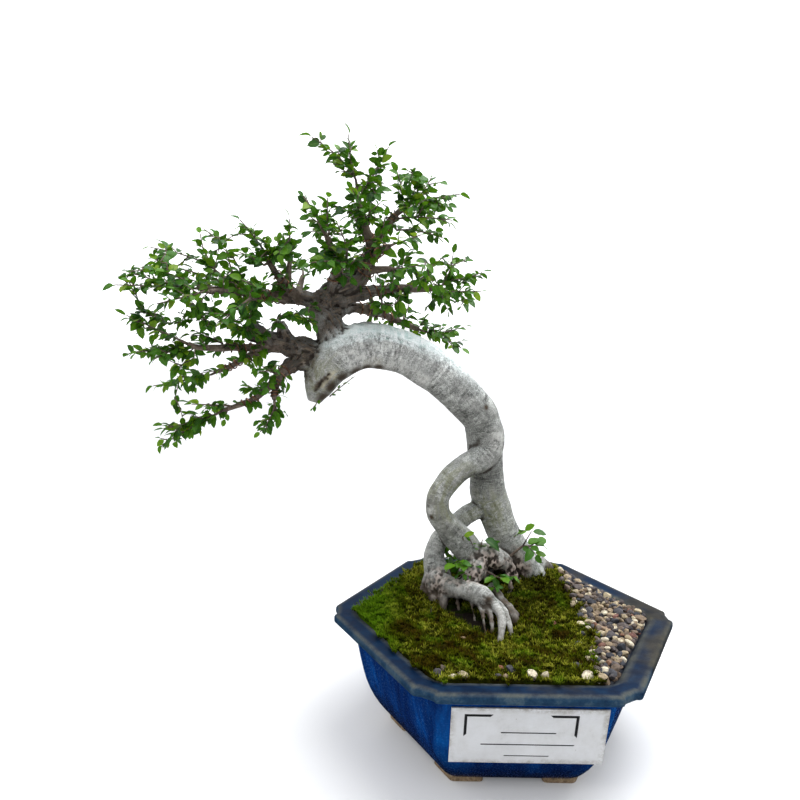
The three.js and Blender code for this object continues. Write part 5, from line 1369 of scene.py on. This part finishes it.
def ground_noise(x, y, cell, number=0):
    """One of several noises over the ground, by its cell in millimetres and its number."""
    return noise.noise(Vector((x / cell, y / cell, number)))


def line_at(y):
    """Where the moss ends and the gravel begins at a depth of the pot."""
    for (ax, ay), (bx, by) in zip(GRAVEL_LINE, GRAVEL_LINE[1:]):
        if by <= y <= ay:
            return ax + (bx - ax) * (ay - y) / (ay - by) + 4 * noise.noise(Vector((y / 9, 2, 0)))
    return GRAVEL_LINE[0][0]


def edge_at(y):
    """Half width of the ground at a depth of the pot."""
    return GROUND["edge"] - abs(y) / math.sqrt(3)


def sheet(cell, left, right, level, value):
    """A raised sheet between two sides of the pot, with a skirt down to the soil."""
    shape = Shape()
    reach = GROUND["edge"] * math.sqrt(3) / 2
    rows = round(2 * reach / cell)
    columns = round(1.5 * GROUND["edge"] / cell)
    points = []
    values = []
    for j in range(rows + 1):
        y = -reach + 2 * reach * j / rows
        low, high = left(y), right(y)
        for i in range(columns + 1):
            x = low + (high - low) * i / columns
            rim = min(x - low, high - x, y + reach, reach - y)
            border = i in (0, columns) or j in (0, rows)
            z = GROUND["skirt"] if border else level(x, y, rim)
            points.append(Vector((x, y, z)) * MM)
            values.append(value(x, y))
    shape.add(points, grid_faces(columns, rows), 0, own=values)
    return shape


def hollow_at(x, y, inner, outer):
    """How deep a place lies in the bare hollow, between two shares of the reach of its rounds."""
    return max(1 - smoothstep(math.hypot(x - hx, y - hy), reach * inner, reach * outer)
               for hx, hy, reach in HOLLOWS)


def moss_level(x, y, rim=INSIDE):
    """Height of the moss cushion, which thins out towards its rim and is bare in the hollow."""
    swell = sum(high * ground_noise(x, y, cell, number) for high, cell, number in SWELLS)
    cover = smoothstep(rim, -0.5, 3.5)
    cushion = (MOSS["thickness"] - MOSS_SUNK["all"] + swell) * cover
    return ground_level(x, y) + cushion - MOSS_SUNK["hollow"] * hollow_at(x, y, 0.4, 1)


def moss_value(x, y, rng=None):
    """Own tint, freshness and shade of the moss at a place."""
    dry = max(1 - smoothstep(math.hypot(x - dx, y - dy), reach * 0.3, reach) for dx, dy, reach in DRY_MOSS)
    tint = (rng.random() if rng else MOSS_TONE["cushion"]) * (1 - MOSS_TONE["dry"] * dry)
    patch = smoothstep(ground_noise(x, y, MOSS_TONE["patch_cell"], 1), *MOSS_TONE["patch_from"])
    fresh = max(smoothstep(-x, *MOSS_TONE["fresh_x"]), MOSS_TONE["patch"] * patch)
    trunk_x, trunk_y = MOSS_TONE["trunk"]
    near = 1 - smoothstep(math.hypot(x - trunk_x, y - trunk_y), *MOSS_TONE["trunk_reach"])
    dip = smoothstep(-ground_noise(x, y, *SWELLS[0][1:]), *MOSS_TONE["dip_from"])
    hollow = hollow_at(x, y, 0.5, 1.15)
    shade = min(1, MOSS_TONE["cushion_shade"] + hollow)
    if rng:
        shade = max(MOSS_TONE["trunk_shade"] * near, MOSS_TONE["dip_shade"] * dip, hollow)
    lit = 1 - MOSS_TONE["lit"] * fresh * (1 - hollow)
    return (tint, fresh * MOSS_TONE["fresh"] * (1 - dry), shade * lit)


def make_moss(look):
    """The moss cushion and, on it, thousands of small pointed shoots in two pieces."""
    cushion = sheet(
        MOSS["cell"], lambda y: -edge_at(y), lambda y: line_at(y) - PARTED, moss_level, moss_value,
    )
    cushion.piece("moss_cushion", [look], "moss", ["moss"])
    rng = random.Random(5)
    for part in range(2):
        shape = Shape()
        for _ in range(MOSS["tufts"] // 2):
            x, y = rng.uniform(*MOSS["across"]), rng.uniform(*MOSS["deep"])
            low, high = -edge_at(y), line_at(y) - PARTED
            lap = ground_noise(x, y, LAP["cell"], 5) * LAP["gain"] + LAP["bias"]
            over = MOSS["over"] * max(lap, LAP["least"])
            wall = wall_distance(x, y)
            if x > high or wall < -over:
                continue
            value = moss_value(x, y, rng)
            if value[2] > MOSS["bare"]:
                continue
            z = moss_level(x, y, min(x - low, high - x, MOSS["depth"] - abs(y))) - 0.5
            if wall < MOSS["brim_width"]:
                z, value = on_the_brim(z, value, wall)
            tuft(shape, Vector((x, y, z)), value, rng)
        shape.piece("moss_shoots_%d" % (part + 1), [look], "moss")


def on_the_brim(z, value, wall):
    """Lifts a tuft near the wall over the pot's inner edge, where it is in the light."""
    tint, fresh, shade = value
    return max(z, MOSS["brim"] + (1 - smoothstep(wall, -1, 1))), (tint, fresh, shade * MOSS["brim_shade"])


def tuft(shape, base, value, rng):
    """A star of narrow leaves, rising from one point of the moss, with painted shade at its heart."""
    start = rng.uniform(0, 2 * math.pi)
    tall = rng.uniform(*TUFT["size"]) * MOSS["height"]
    tint, fresh, shade = value
    for k in range(TUFT["blades"]):
        turn = start + 2 * math.pi * k / TUFT["blades"] + rng.uniform(-TUFT["loose"], TUFT["loose"])
        out = level_turn(turn)
        side = Vector((-out.y, out.x, 0)) * MOSS["blade"] * rng.uniform(*TUFT["width"]) / 2
        high = tall * rng.uniform(*TUFT["height"])
        middle = base + out * high * TUFT["middle_out"] + UP * high * TUFT["middle_up"]
        tip = base + out * high * rng.uniform(*TUFT["open"]) + UP * high
        points = [base * MM, (middle - side) * MM, (middle + side) * MM, tip * MM]
        own = min(tint + TUFT["tints"] * rng.random(), 1)
        middle_shade = max(shade, TUFT["middle_shade"])
        values = [(own, fresh, 1)] + [(own, fresh, middle_shade)] * 2 + [(own, fresh, shade)]
        shape.add(points, [(0, 2, 3, 1)], 0, own=values)


def pebble(shape, centre, radius, rng, tone, red=0.0):
    """A worn angular stone: a ball squashed, cut by a few planes and roughened."""
    ball = bmesh.new()
    bmesh.ops.create_icosphere(ball, subdivisions=3, radius=1)
    size = Vector([rng.uniform(*PEBBLE[way]) for way in ("long", "wide", "high")]) * radius
    turn = Quaternion(random_direction(rng), rng.uniform(0, PEBBLE["tilt"]))
    turn = Quaternion(UP, rng.uniform(0, 2 * math.pi)) @ turn
    cuts = [(random_direction(rng), rng.uniform(*PEBBLE["cut"])) for _ in range(PEBBLE["cuts"])]
    seed = Vector((rng.uniform(0, 99), rng.uniform(0, 99), 0))
    points = []
    for vertex in ball.verts:
        place = vertex.co.copy()
        for flat, depth in cuts:
            over = place.dot(flat) - depth
            if over > 0:
                place -= flat * over
        place *= 1 + PEBBLE["rough"] * noise.noise(place * PEBBLE["rough_scale"] + seed)
        place = turn @ Vector((place.x * size.x, place.y * size.y, place.z * size.z))
        points.append((centre + place) * MM)
    faces = [tuple(v.index for v in face.verts) for face in ball.faces]
    ball.free()
    shape.add(points, faces, 0, own=(tone, red, 0))


def faceted(made):
    """Shows the flat faces of a piece as they are."""
    made.data.polygons.foreach_set("use_smooth", [False] * len(made.data.polygons))


def stone_tone(rng):
    """Tone and redness of a stone."""
    tone = rng.random() ** PEBBLE["paler"]
    return tone, PEBBLE["red"] if rng.random() < PEBBLE["red_share"] else 0.0


def gravel_bed(x, y, rim=INSIDE):
    """Height of the bed under the loose stones."""
    return ground_level(x, y) + GRAVEL["thickness"] * smoothstep(rim, -0.5, 3) - GRAVEL["sunk"]


def gravel_spots(rng):
    """Places of the stones in two layers, each layer with its stones apart: x, y, radius and layer."""
    spots = []
    tries = 0
    while len(spots) < GRAVEL["stones"] and tries < GRAVEL["tries"]:
        tries += 1
        y = rng.uniform(*GRAVEL["deep"])
        x = rng.uniform(*GRAVEL["across"])
        radius = rng.uniform(GRAVEL["least"], GRAVEL["most"])
        low = line_at(y) - rng.uniform(0, GRAVEL["stray"])
        inside = radius * GRAVEL["over_edge"]
        if not low < x < edge_at(y) - inside or abs(y) > GRAVEL["depth"] - inside:
            continue
        layer = len(spots) % 2
        if any(other == layer and math.hypot(x - a, y - b) < GRAVEL["closeness"] * (radius + r)
               for a, b, r, other in spots):
            continue
        spots.append((x, y, radius, layer))
    return spots


def make_gravel(look):
    """A bed of small stones at the right, and scattered stones in the moss and along the front rim."""
    bed = sheet(
        GRAVEL["cell"], lambda y: line_at(y) + PARTED, edge_at, gravel_bed,
        lambda x, y: (GRAVEL["bed_tone"], 0, 0),
    )
    bed.piece("gravel_bed", [look], "gravel", ["gravel"])
    rng = random.Random(31)
    shape = Shape()
    for x, y, radius, layer in gravel_spots(rng):
        tone, red = stone_tone(rng)
        z = ground_level(x, y) + GRAVEL["rise"] + GRAVEL["layer"] * layer + rng.uniform(*GRAVEL["uneven"])
        pebble(shape, Vector((x, y, z)), radius, rng, tone, red)
    faceted(shape.piece("gravel_stones", [look], "gravel"))
    loose = Shape()
    for x, y, radius, tone, red in LOOSE_STONES:
        z = moss_level(x, y) + radius * GRAVEL["loose_rise"]
        pebble(loose, Vector((x, y, z)), radius, rng, tone, red)
    faceted(loose.piece("loose_stones", [look], "gravel"))


def soil_ring(radius):
    """Places round a six-sided ring of the soil."""
    places = []
    for k in range(SOIL["around"]):
        turn = 2 * math.pi * k / SOIL["around"]
        bend = (turn % (math.pi / 3)) - math.pi / 6
        far = radius * math.cos(math.pi / 6) / math.cos(bend)
        places.append((far * math.cos(turn), far * math.sin(turn)))
    return places


def make_soil(look):
    """Soil filling the pot under the moss and gravel."""
    around = SOIL["around"]
    points = [Vector((0, 0, ground_level(0, 0))) * MM]
    for ring in range(1, SOIL["rings"] + 1):
        for x, y in soil_ring(ring / SOIL["rings"] * SOIL["radius"]):
            crumb = SOIL["crumb"] * ground_noise(x, y, 4)
            points.append(Vector((x, y, ground_level(x, y) + crumb)) * MM)
    for level, radius in SOIL_SIDES:
        points.extend([Vector((x, y, level)) * MM for x, y in soil_ring(radius)])
    points.append(Vector((0, 0, SOIL["bottom"])) * MM)
    levels = SOIL["rings"] + len(SOIL_SIDES)
    faces = ring_faces(levels, around, 1)
    for k in range(around):
        after = (k + 1) % around
        bottom = 1 + (levels - 1) * around
        faces.append((0, 1 + k, 1 + after))
        faces.append((bottom + k, len(points) - 1, bottom + after))
    shape = Shape()
    shape.add(points, faces)
    shape.piece("soil_filling", [look], "soil", ["soil"])


def hexagon(z, radius, cut, step):
    """Six-sided section of the pot, its corners cut, stepped and eased."""
    corners = []
    for k in range(6):
        out = level_turn(math.pi / 3 * k)
        along = Vector((-out.y, out.x, 0))
        half = cut * math.sin(math.pi / 3)
        edge = radius - cut / 2
        swell = (1 - min(step / CORNER["stepped"], 1)) * cut * CORNER["swell"]
        inner = half - (step if step > CORNER["least_step"] else half * CORNER["inner"])
        shoulder = edge - step + swell * CORNER["shoulder"]
        middle = edge - step + swell
        for n, t in ((edge, -half), (shoulder, -inner), (middle, 0), (shoulder, inner), (edge, half)):
            corners.append(out * n + along * t)
    outline = rounded(corners, CORNER["ease"], 3)
    return [Vector((p.x, p.y, z)) for p in outline]


def make_pot(glaze, clay):
    """Glazed pot with drain holes, and its bare clay feet."""
    rings = [hexagon(*level) for level in POT_SKIN]
    count = len(rings[0])
    points = [p * MM for ring in rings for p in ring]
    # Marks of the rim by ring: its edges, rubbed and with a painted highlight, and its outer lip, with a
    # painted sheen.
    worn = []
    for (z, radius, _, _), ring in zip(POT_SKIN, rings):
        edge = z > RIM_WEAR_AND_SHEEN["edge_z"] and radius > RIM_WEAR_AND_SHEEN["outer"] or z > RIM_WEAR_AND_SHEEN["lip_z"] and radius < RIM_WEAR_AND_SHEEN["inner"]
        lip = radius > RIM_WEAR_AND_SHEEN["lip"] and z < RIM_WEAR_AND_SHEEN["lip_top"]
        worn.extend([(edge, lip, 0)] * len(ring))
    points.append(Vector((0, 0, POT["base"])) * MM)
    points.append(Vector((0, 0, POT["floor"])) * MM)
    worn.extend([(0, 0, 0)] * 2)
    faces = []
    top = (len(rings) - 1) * count
    for k in range(count):
        after = (k + 1) % count
        for level in range(len(rings) - 1):
            a = level * count + k
            b = level * count + after
            faces.append((a, b, b + count, a + count))
        faces.append((after, k, len(points) - 2))
        faces.append((top + k, top + after, len(points) - 1))
    shape = Shape()
    shape.add(points, faces)
    pot = shape.piece("pot_glazed", [glaze], "glazed_pot", ["pot"])
    drill_drains(pot)
    store_wear_and_sheen(pot.data, points, worn)
    feet = Shape()
    for k in range(6):
        add_foot(feet, math.pi / 3 * k)
    feet.piece("pot_feet", [clay], "glazed_pot")


def store_wear_and_sheen(mesh, points, worn):
    """Gives each point of the drilled pot the wear, painted highlight and painted sheen of the nearest point
    it had before.
    """
    near = kdtree.KDTree(len(points))
    for i, place in enumerate(points):
        near.insert(place, i)
    near.balance()
    store(mesh, "worn", [worn[near.find(vertex.co)[1]] for vertex in mesh.vertices])


def drill_drains(pot):
    """Cuts the two drain holes through the floor."""
    for side in (-1, 1):
        hole = Shape()
        x = side * POT["drain_x"]
        radius = POT["drain_radius"]
        tube(hole, [Vector((x, 0, z, radius)) for z in (-5, 8, 20)], SIDES["drain"])
        cutter = placed("drain_cutter", hole.mesh("drain_cutter"))
        cut = pot.modifiers.new("drain", "BOOLEAN")
        cut.object = cutter
        cut.solver = "EXACT"
        shaped = pot.evaluated_get(bpy.context.evaluated_depsgraph_get())
        mesh = bpy.data.meshes.new_from_object(shaped)
        pot.modifiers.remove(cut)
        pot.data = mesh
        bpy.data.objects.remove(cutter)


def add_foot(shape, turn):
    """One low foot that follows a corner of the pot."""
    radius = FEET["radius"]
    corner = level_turn(turn) * radius
    first, second = (-level_turn(turn - way * math.pi / 3) for way in (-1, 1))
    inner = corner * (1 - FEET["width"] / math.cos(math.pi / 6) / radius)
    long, short = FEET["reach"], FEET["reach"] - FEET["width"] * 0.58
    outline = rounded([
        corner, corner + first * long, inner + first * short, inner, inner + second * short,
        corner + second * long,
    ], FEET["ease"], 4)
    middle = sum(outline, Vector()) / len(outline)
    points = []
    levels = ((0, 0.97), (0.5, 0.995), (FEET["top"], 1))
    for z, scale in levels:
        points.extend([(middle + (p - middle) * scale + UP * z) * MM for p in outline])
    count = len(outline)
    shape.add(points, [tuple(range(count)), *ring_faces(len(levels), count)])


def plate_frame():
    """Places things on the plate: its middle, and how it leans against the wall."""
    (low_z, low_radius), (high_z, high_radius) = PLATE_WALL
    flat = math.cos(math.pi / 6)
    slope = flat * (high_radius - low_radius) / (high_z - low_z)
    lean = math.atan(slope)
    face_y = -(flat * low_radius + slope * (PLATE["z"] - low_z))
    stand = PLATE["gap"] + PLATE["thickness"] / 2
    middle = Vector((PLATE["x"], face_y - stand * math.cos(lean), PLATE["z"] - stand * math.sin(lean)))
    return Matrix.Translation(middle * MM) @ Matrix.Rotation(lean, 4, "X")


def plate_sheet(frame):
    """The plate: a grid of points on its back and front, and a narrow slope round the front."""
    columns, rows = PLATE_GRID
    wide, high, thick = PLATE["width"] / 2, PLATE["height"] / 2, PLATE["thickness"] / 2
    slope = PLATE["slope"]
    points = []
    edges = []
    for level, inset in ((thick, 0), (-thick + slope, 0), (-thick, slope)):
        for j in range(rows + 1):
            for i in range(columns + 1):
                x = (wide - inset) * (2 * i / columns - 1)
                z = (high - inset) * (2 * j / rows - 1)
                rim = min(wide - abs(x), high - abs(z))
                points.append(frame @ (Vector((x, level, z)) * MM))
                inside = rim - PLATE_STAIN["right"] * (x > 0)
                edges.append((1 - smoothstep(inside, 0, PLATE_STAIN["reach"]), 0, 0))
    row = columns + 1
    layer = row * (rows + 1)
    border = [(i, i + 1) for i in range(columns)]
    border += [(columns + j * row, columns + (j + 1) * row) for j in range(rows)]
    border += [(rows * row + i + 1, rows * row + i) for i in range(columns)]
    border += [((j + 1) * row, j * row) for j in range(rows)]
    faces = grid_faces(columns, rows, back=True) + grid_faces(columns, rows, 2 * layer)
    for first in (0, layer):
        faces.extend([(first + a, first + b, first + layer + b, first + layer + a) for a, b in border])
    shape = Shape()
    shape.add(points, faces, 0, edge=edges)
    return shape


def make_plate(look, ink):
    """Plate on the front of the pot, with two corner brackets and plain ruled lines."""
    frame = plate_frame()
    wide, high, thick = PLATE["width"] / 2, PLATE["height"] / 2, PLATE["thickness"] / 2
    faceted(plate_sheet(frame).piece("plate_panel", [look], "label", ["label_plate"]))
    marks = Shape()
    down = Vector((0, 0, -1))
    front = -thick - BRACKET["high"] / 2
    for way, inset in ((-1, BRACKET["left"]), (1, BRACKET["right"])):
        inward = Vector((-way, 0, 0))
        corner = Vector((way * (wide - inset), front, high - BRACKET["down"]))
        bar(marks, frame, corner, inward, BRACKET["across"], down)
        bar(marks, frame, corner, down, BRACKET["drop"], inward)
    for up, length, thickness in RULES:
        start = Vector((-length / 2, front, up + thickness / 2))
        bar(marks, frame, start, Vector((1, 0, 0)), length, down, thickness, thickness)
    marks.piece("plate_marks", [ink], "label")


def bar(shape, frame, start, along, length, inward, thick=BRACKET["thick"], far=BRACKET["thick"]):
    """A flat painted bar on the plate, narrower at its far end."""
    lift = Vector((0, BRACKET["high"] / 2 + 0.05, 0))
    end = start + along * length
    outline = [start, end, start + along * (length - thick) + inward * far, start + inward * thick]
    points = [frame @ ((p + lift * way) * MM) for way in (-1, 1) for p in outline]
    faces = [(0, 1, 2, 3), (7, 6, 5, 4), (0, 4, 5, 1), (1, 5, 6, 2), (2, 6, 7, 3), (3, 7, 4, 0)]
    shape.add(points, faces)


def make_screens(look):
    """Round woven screens over the two drain holes."""
    for side, node in ((-1, "drain_screen_left"), (1, "drain_screen_right")):
        shape = Shape()
        middle = Vector((side * POT["drain_x"], 0, SCREEN["bottom"] + SCREEN["thickness"] / 2))
        count = int(SCREEN["radius"] / SCREEN["pitch"])
        for i in range(-count, count + 1):
            off = i * SCREEN["pitch"]
            half = math.sqrt(SCREEN["radius"] ** 2 - off**2)
            for flip in (False, True):
                ends = [Vector((off, way * half, 0)) for way in (-1, 1)]
                if flip:
                    ends = [Vector((p.y, p.x, 0)) for p in ends]
                line = [Vector((*(middle + p), SCREEN["wire"])) for p in ends]
                tube(shape, line, SIDES["wire"])
        turns = [2 * math.pi * k / 40 for k in range(41)]
        rim = SCREEN["rim"]
        ring = [Vector((*(middle + level_turn(turn) * (SCREEN["radius"] - rim)), rim)) for turn in turns]
        tube(shape, ring, SIDES["wire"])
        shape.piece(node + "_mesh", [look], "screen", [node])


def coil(shape, branch, start, end, turns, phase):
    """Wire wound on a stretch of a branch."""
    line = BRANCHES[branch]
    step = WIRE["step"]
    fine = spline(line, step)
    total = len(line) - 1
    steps = turns * WIRE["sides"]
    places = []
    counts = [max(1, round((Vector(b[:3]) - Vector(a[:3])).length / step)) for a, b in zip(line, line[1:])]
    marks = [sum(counts[:i]) for i in range(total + 1)]
    turns_at = frames(fine)
    for i in range(steps + 1):
        at = start + (end - start) * i / steps
        k = min(int(at), total - 1)
        index = marks[k] + (at - k) * counts[k]
        a = min(int(index), len(fine) - 2)
        point = fine[a].lerp(fine[a + 1], index - a)
        _, side, other = turns_at[a]
        angle = phase + 2 * math.pi * turns * i / steps
        out = side * math.cos(angle) + other * math.sin(angle)
        reach = point.w * WIRE["swell"] + WIRE["radius"] + WIRE["clear"]
        places.append(Vector((*(point.xyz + out * reach), WIRE["radius"])))
    tube(shape, places, SIDES["wire"])


def make_wires(look):
    """Training wire on the branches: the wires of the part, and more of the same on their neighbours."""
    for node, wound in WIRES.items():
        shape = Shape()
        coil(shape, *wound)
        shape.piece(node + "_coil", [look], "wire", [node])
    shape = Shape()
    for wound in MORE_WIRES:
        coil(shape, *wound)
    shape.piece("more_wires", [look], "wire")


def make_stage():
    """White floor that curves up into a glowing backdrop, and a wide ground; the glaze mirrors neither."""
    paint = Paint("white_sweep")
    place = paint.place()
    cloud = paint.noise(place, 3, 3)
    tone = paint.ramp(cloud, (0.3, (0.72, 0.72, 0.72)), (0.7, (0.76, 0.76, 0.76)))
    glow = paint.ramp(paint.part(place, "Z"), (0.02, 0.1), (0.3, 1))
    look = paint.finish(Base_Color=tone, Roughness=0.95, Emission_Color=glow, Emission_Strength=0.9)
    back, bend = SWEEP["back"], SWEEP["bend"]
    profile = [(SWEEP["front"], 0), (back, 0)]
    for k in range(1, SWEEP["steps"] + 1):
        turn = math.pi / 2 * k / SWEEP["steps"]
        profile.append((back + bend * math.sin(turn), bend * (1 - math.cos(turn))))
    profile.append((back + bend, SWEEP["top"]))
    staged("sweep", look, profile, SWEEP["half"])
    half, level = WIDE_GROUND["half"], WIDE_GROUND["level"]
    staged("ground", look, [(-half, level), (half, level)], half)


def staged(name, look, profile, half):
    """A part of the stage: a band of this half width along a line of depths and heights, in metres."""
    shape = Shape()
    points = [Vector((x, y, z)) for y, z in profile for x in (-half, half)]
    shape.add(points, [(2 * i, 2 * i + 1, 2 * i + 3, 2 * i + 2) for i in range(len(profile) - 1)])
    made = placed(name, shape.mesh(name))
    made.data.materials.append(look)
    made.visible_glossy = False


def area_light(name, place, size, power, tint):
    """A round soft lamp turned to the heart of the tree."""
    light = bpy.data.lights.new(name, "AREA")
    light.shape = "DISK"
    light.size = size
    light.energy = power
    light.color = tint
    lamp = placed(name, light)
    lamp.location = place
    lamp.rotation_euler = (Vector(HEART) - Vector(place)).to_track_quat("-Z", "Y").to_euler()


def make_light():
    """Soft lamps overhead, at the right and at the left in front, under a sky that is dark at the foot."""
    world = bpy.data.worlds.new("sky")
    bpy.context.scene.world = world
    world.use_nodes = True
    nodes = world.node_tree.nodes
    links = world.node_tree.links
    height = nodes.new("ShaderNodeSeparateXYZ")
    links.new(nodes.new("ShaderNodeTexCoord").outputs["Generated"], height.inputs[0])
    fade = nodes.new("ShaderNodeValToRGB")
    fade.color_ramp.elements.new(0.5)
    for element, (place, tone) in zip(fade.color_ramp.elements, SKY):
        element.position = place
        element.color = (*tone, 1)
    links.new(height.outputs["Z"], fade.inputs["Fac"])
    links.new(fade.outputs["Color"], nodes["Background"].inputs["Color"])
    nodes["Background"].inputs["Strength"].default_value = 1
    for name, lamp in LAMPS.items():
        area_light(name, *lamp)
    bpy.context.scene.view_settings.view_transform = "Standard"


def make_camera():
    """The photograph's own view."""
    yaw, pitch, roll = (math.radians(CAMERA[key]) for key in ("yaw", "pitch", "roll"))
    ahead = Vector((math.sin(yaw) * math.cos(pitch), math.cos(yaw) * math.cos(pitch), -math.sin(pitch)))
    right = Vector((math.cos(yaw), -math.sin(yaw), 0))
    above = right.cross(ahead)
    cos, sin = math.cos(roll), math.sin(roll)
    right, above = right * cos + above * sin, above * cos - right * sin
    data = bpy.data.cameras.new("camera")
    data.lens = CAMERA["lens"]
    data.sensor_width = CAMERA["sensor"]
    data.clip_start = 0.01
    camera = placed("camera", data)
    turned = Matrix((right, above, -ahead)).transposed().to_4x4()
    camera.matrix_world = Matrix.Translation(Vector(CAMERA["place"]) * MM) @ turned
    bpy.context.scene.camera = camera


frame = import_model()

bark_look = bark_material()
branch_look = branch_material()
leaf_look = leaf_material()
moss_look = moss_material()
stone_look = stone_material()
wire_look = wire_material()
make_wood(bark_look)
make_branches(branch_look)
make_sprays(leaf_look, branch_look)
make_low_leaves(leaf_look, branch_look)
make_canopy(leaf_look, branch_look)
make_spurs(leaf_look, branch_look)
make_wires(wire_look)
make_soil(soil_material())
make_moss(moss_look)
make_gravel(stone_look)
make_pot(glaze_material(), clay_material())
make_plate(plate_material(), ink_material())
make_screens(mesh_material())
make_stage()
make_light()
make_camera()
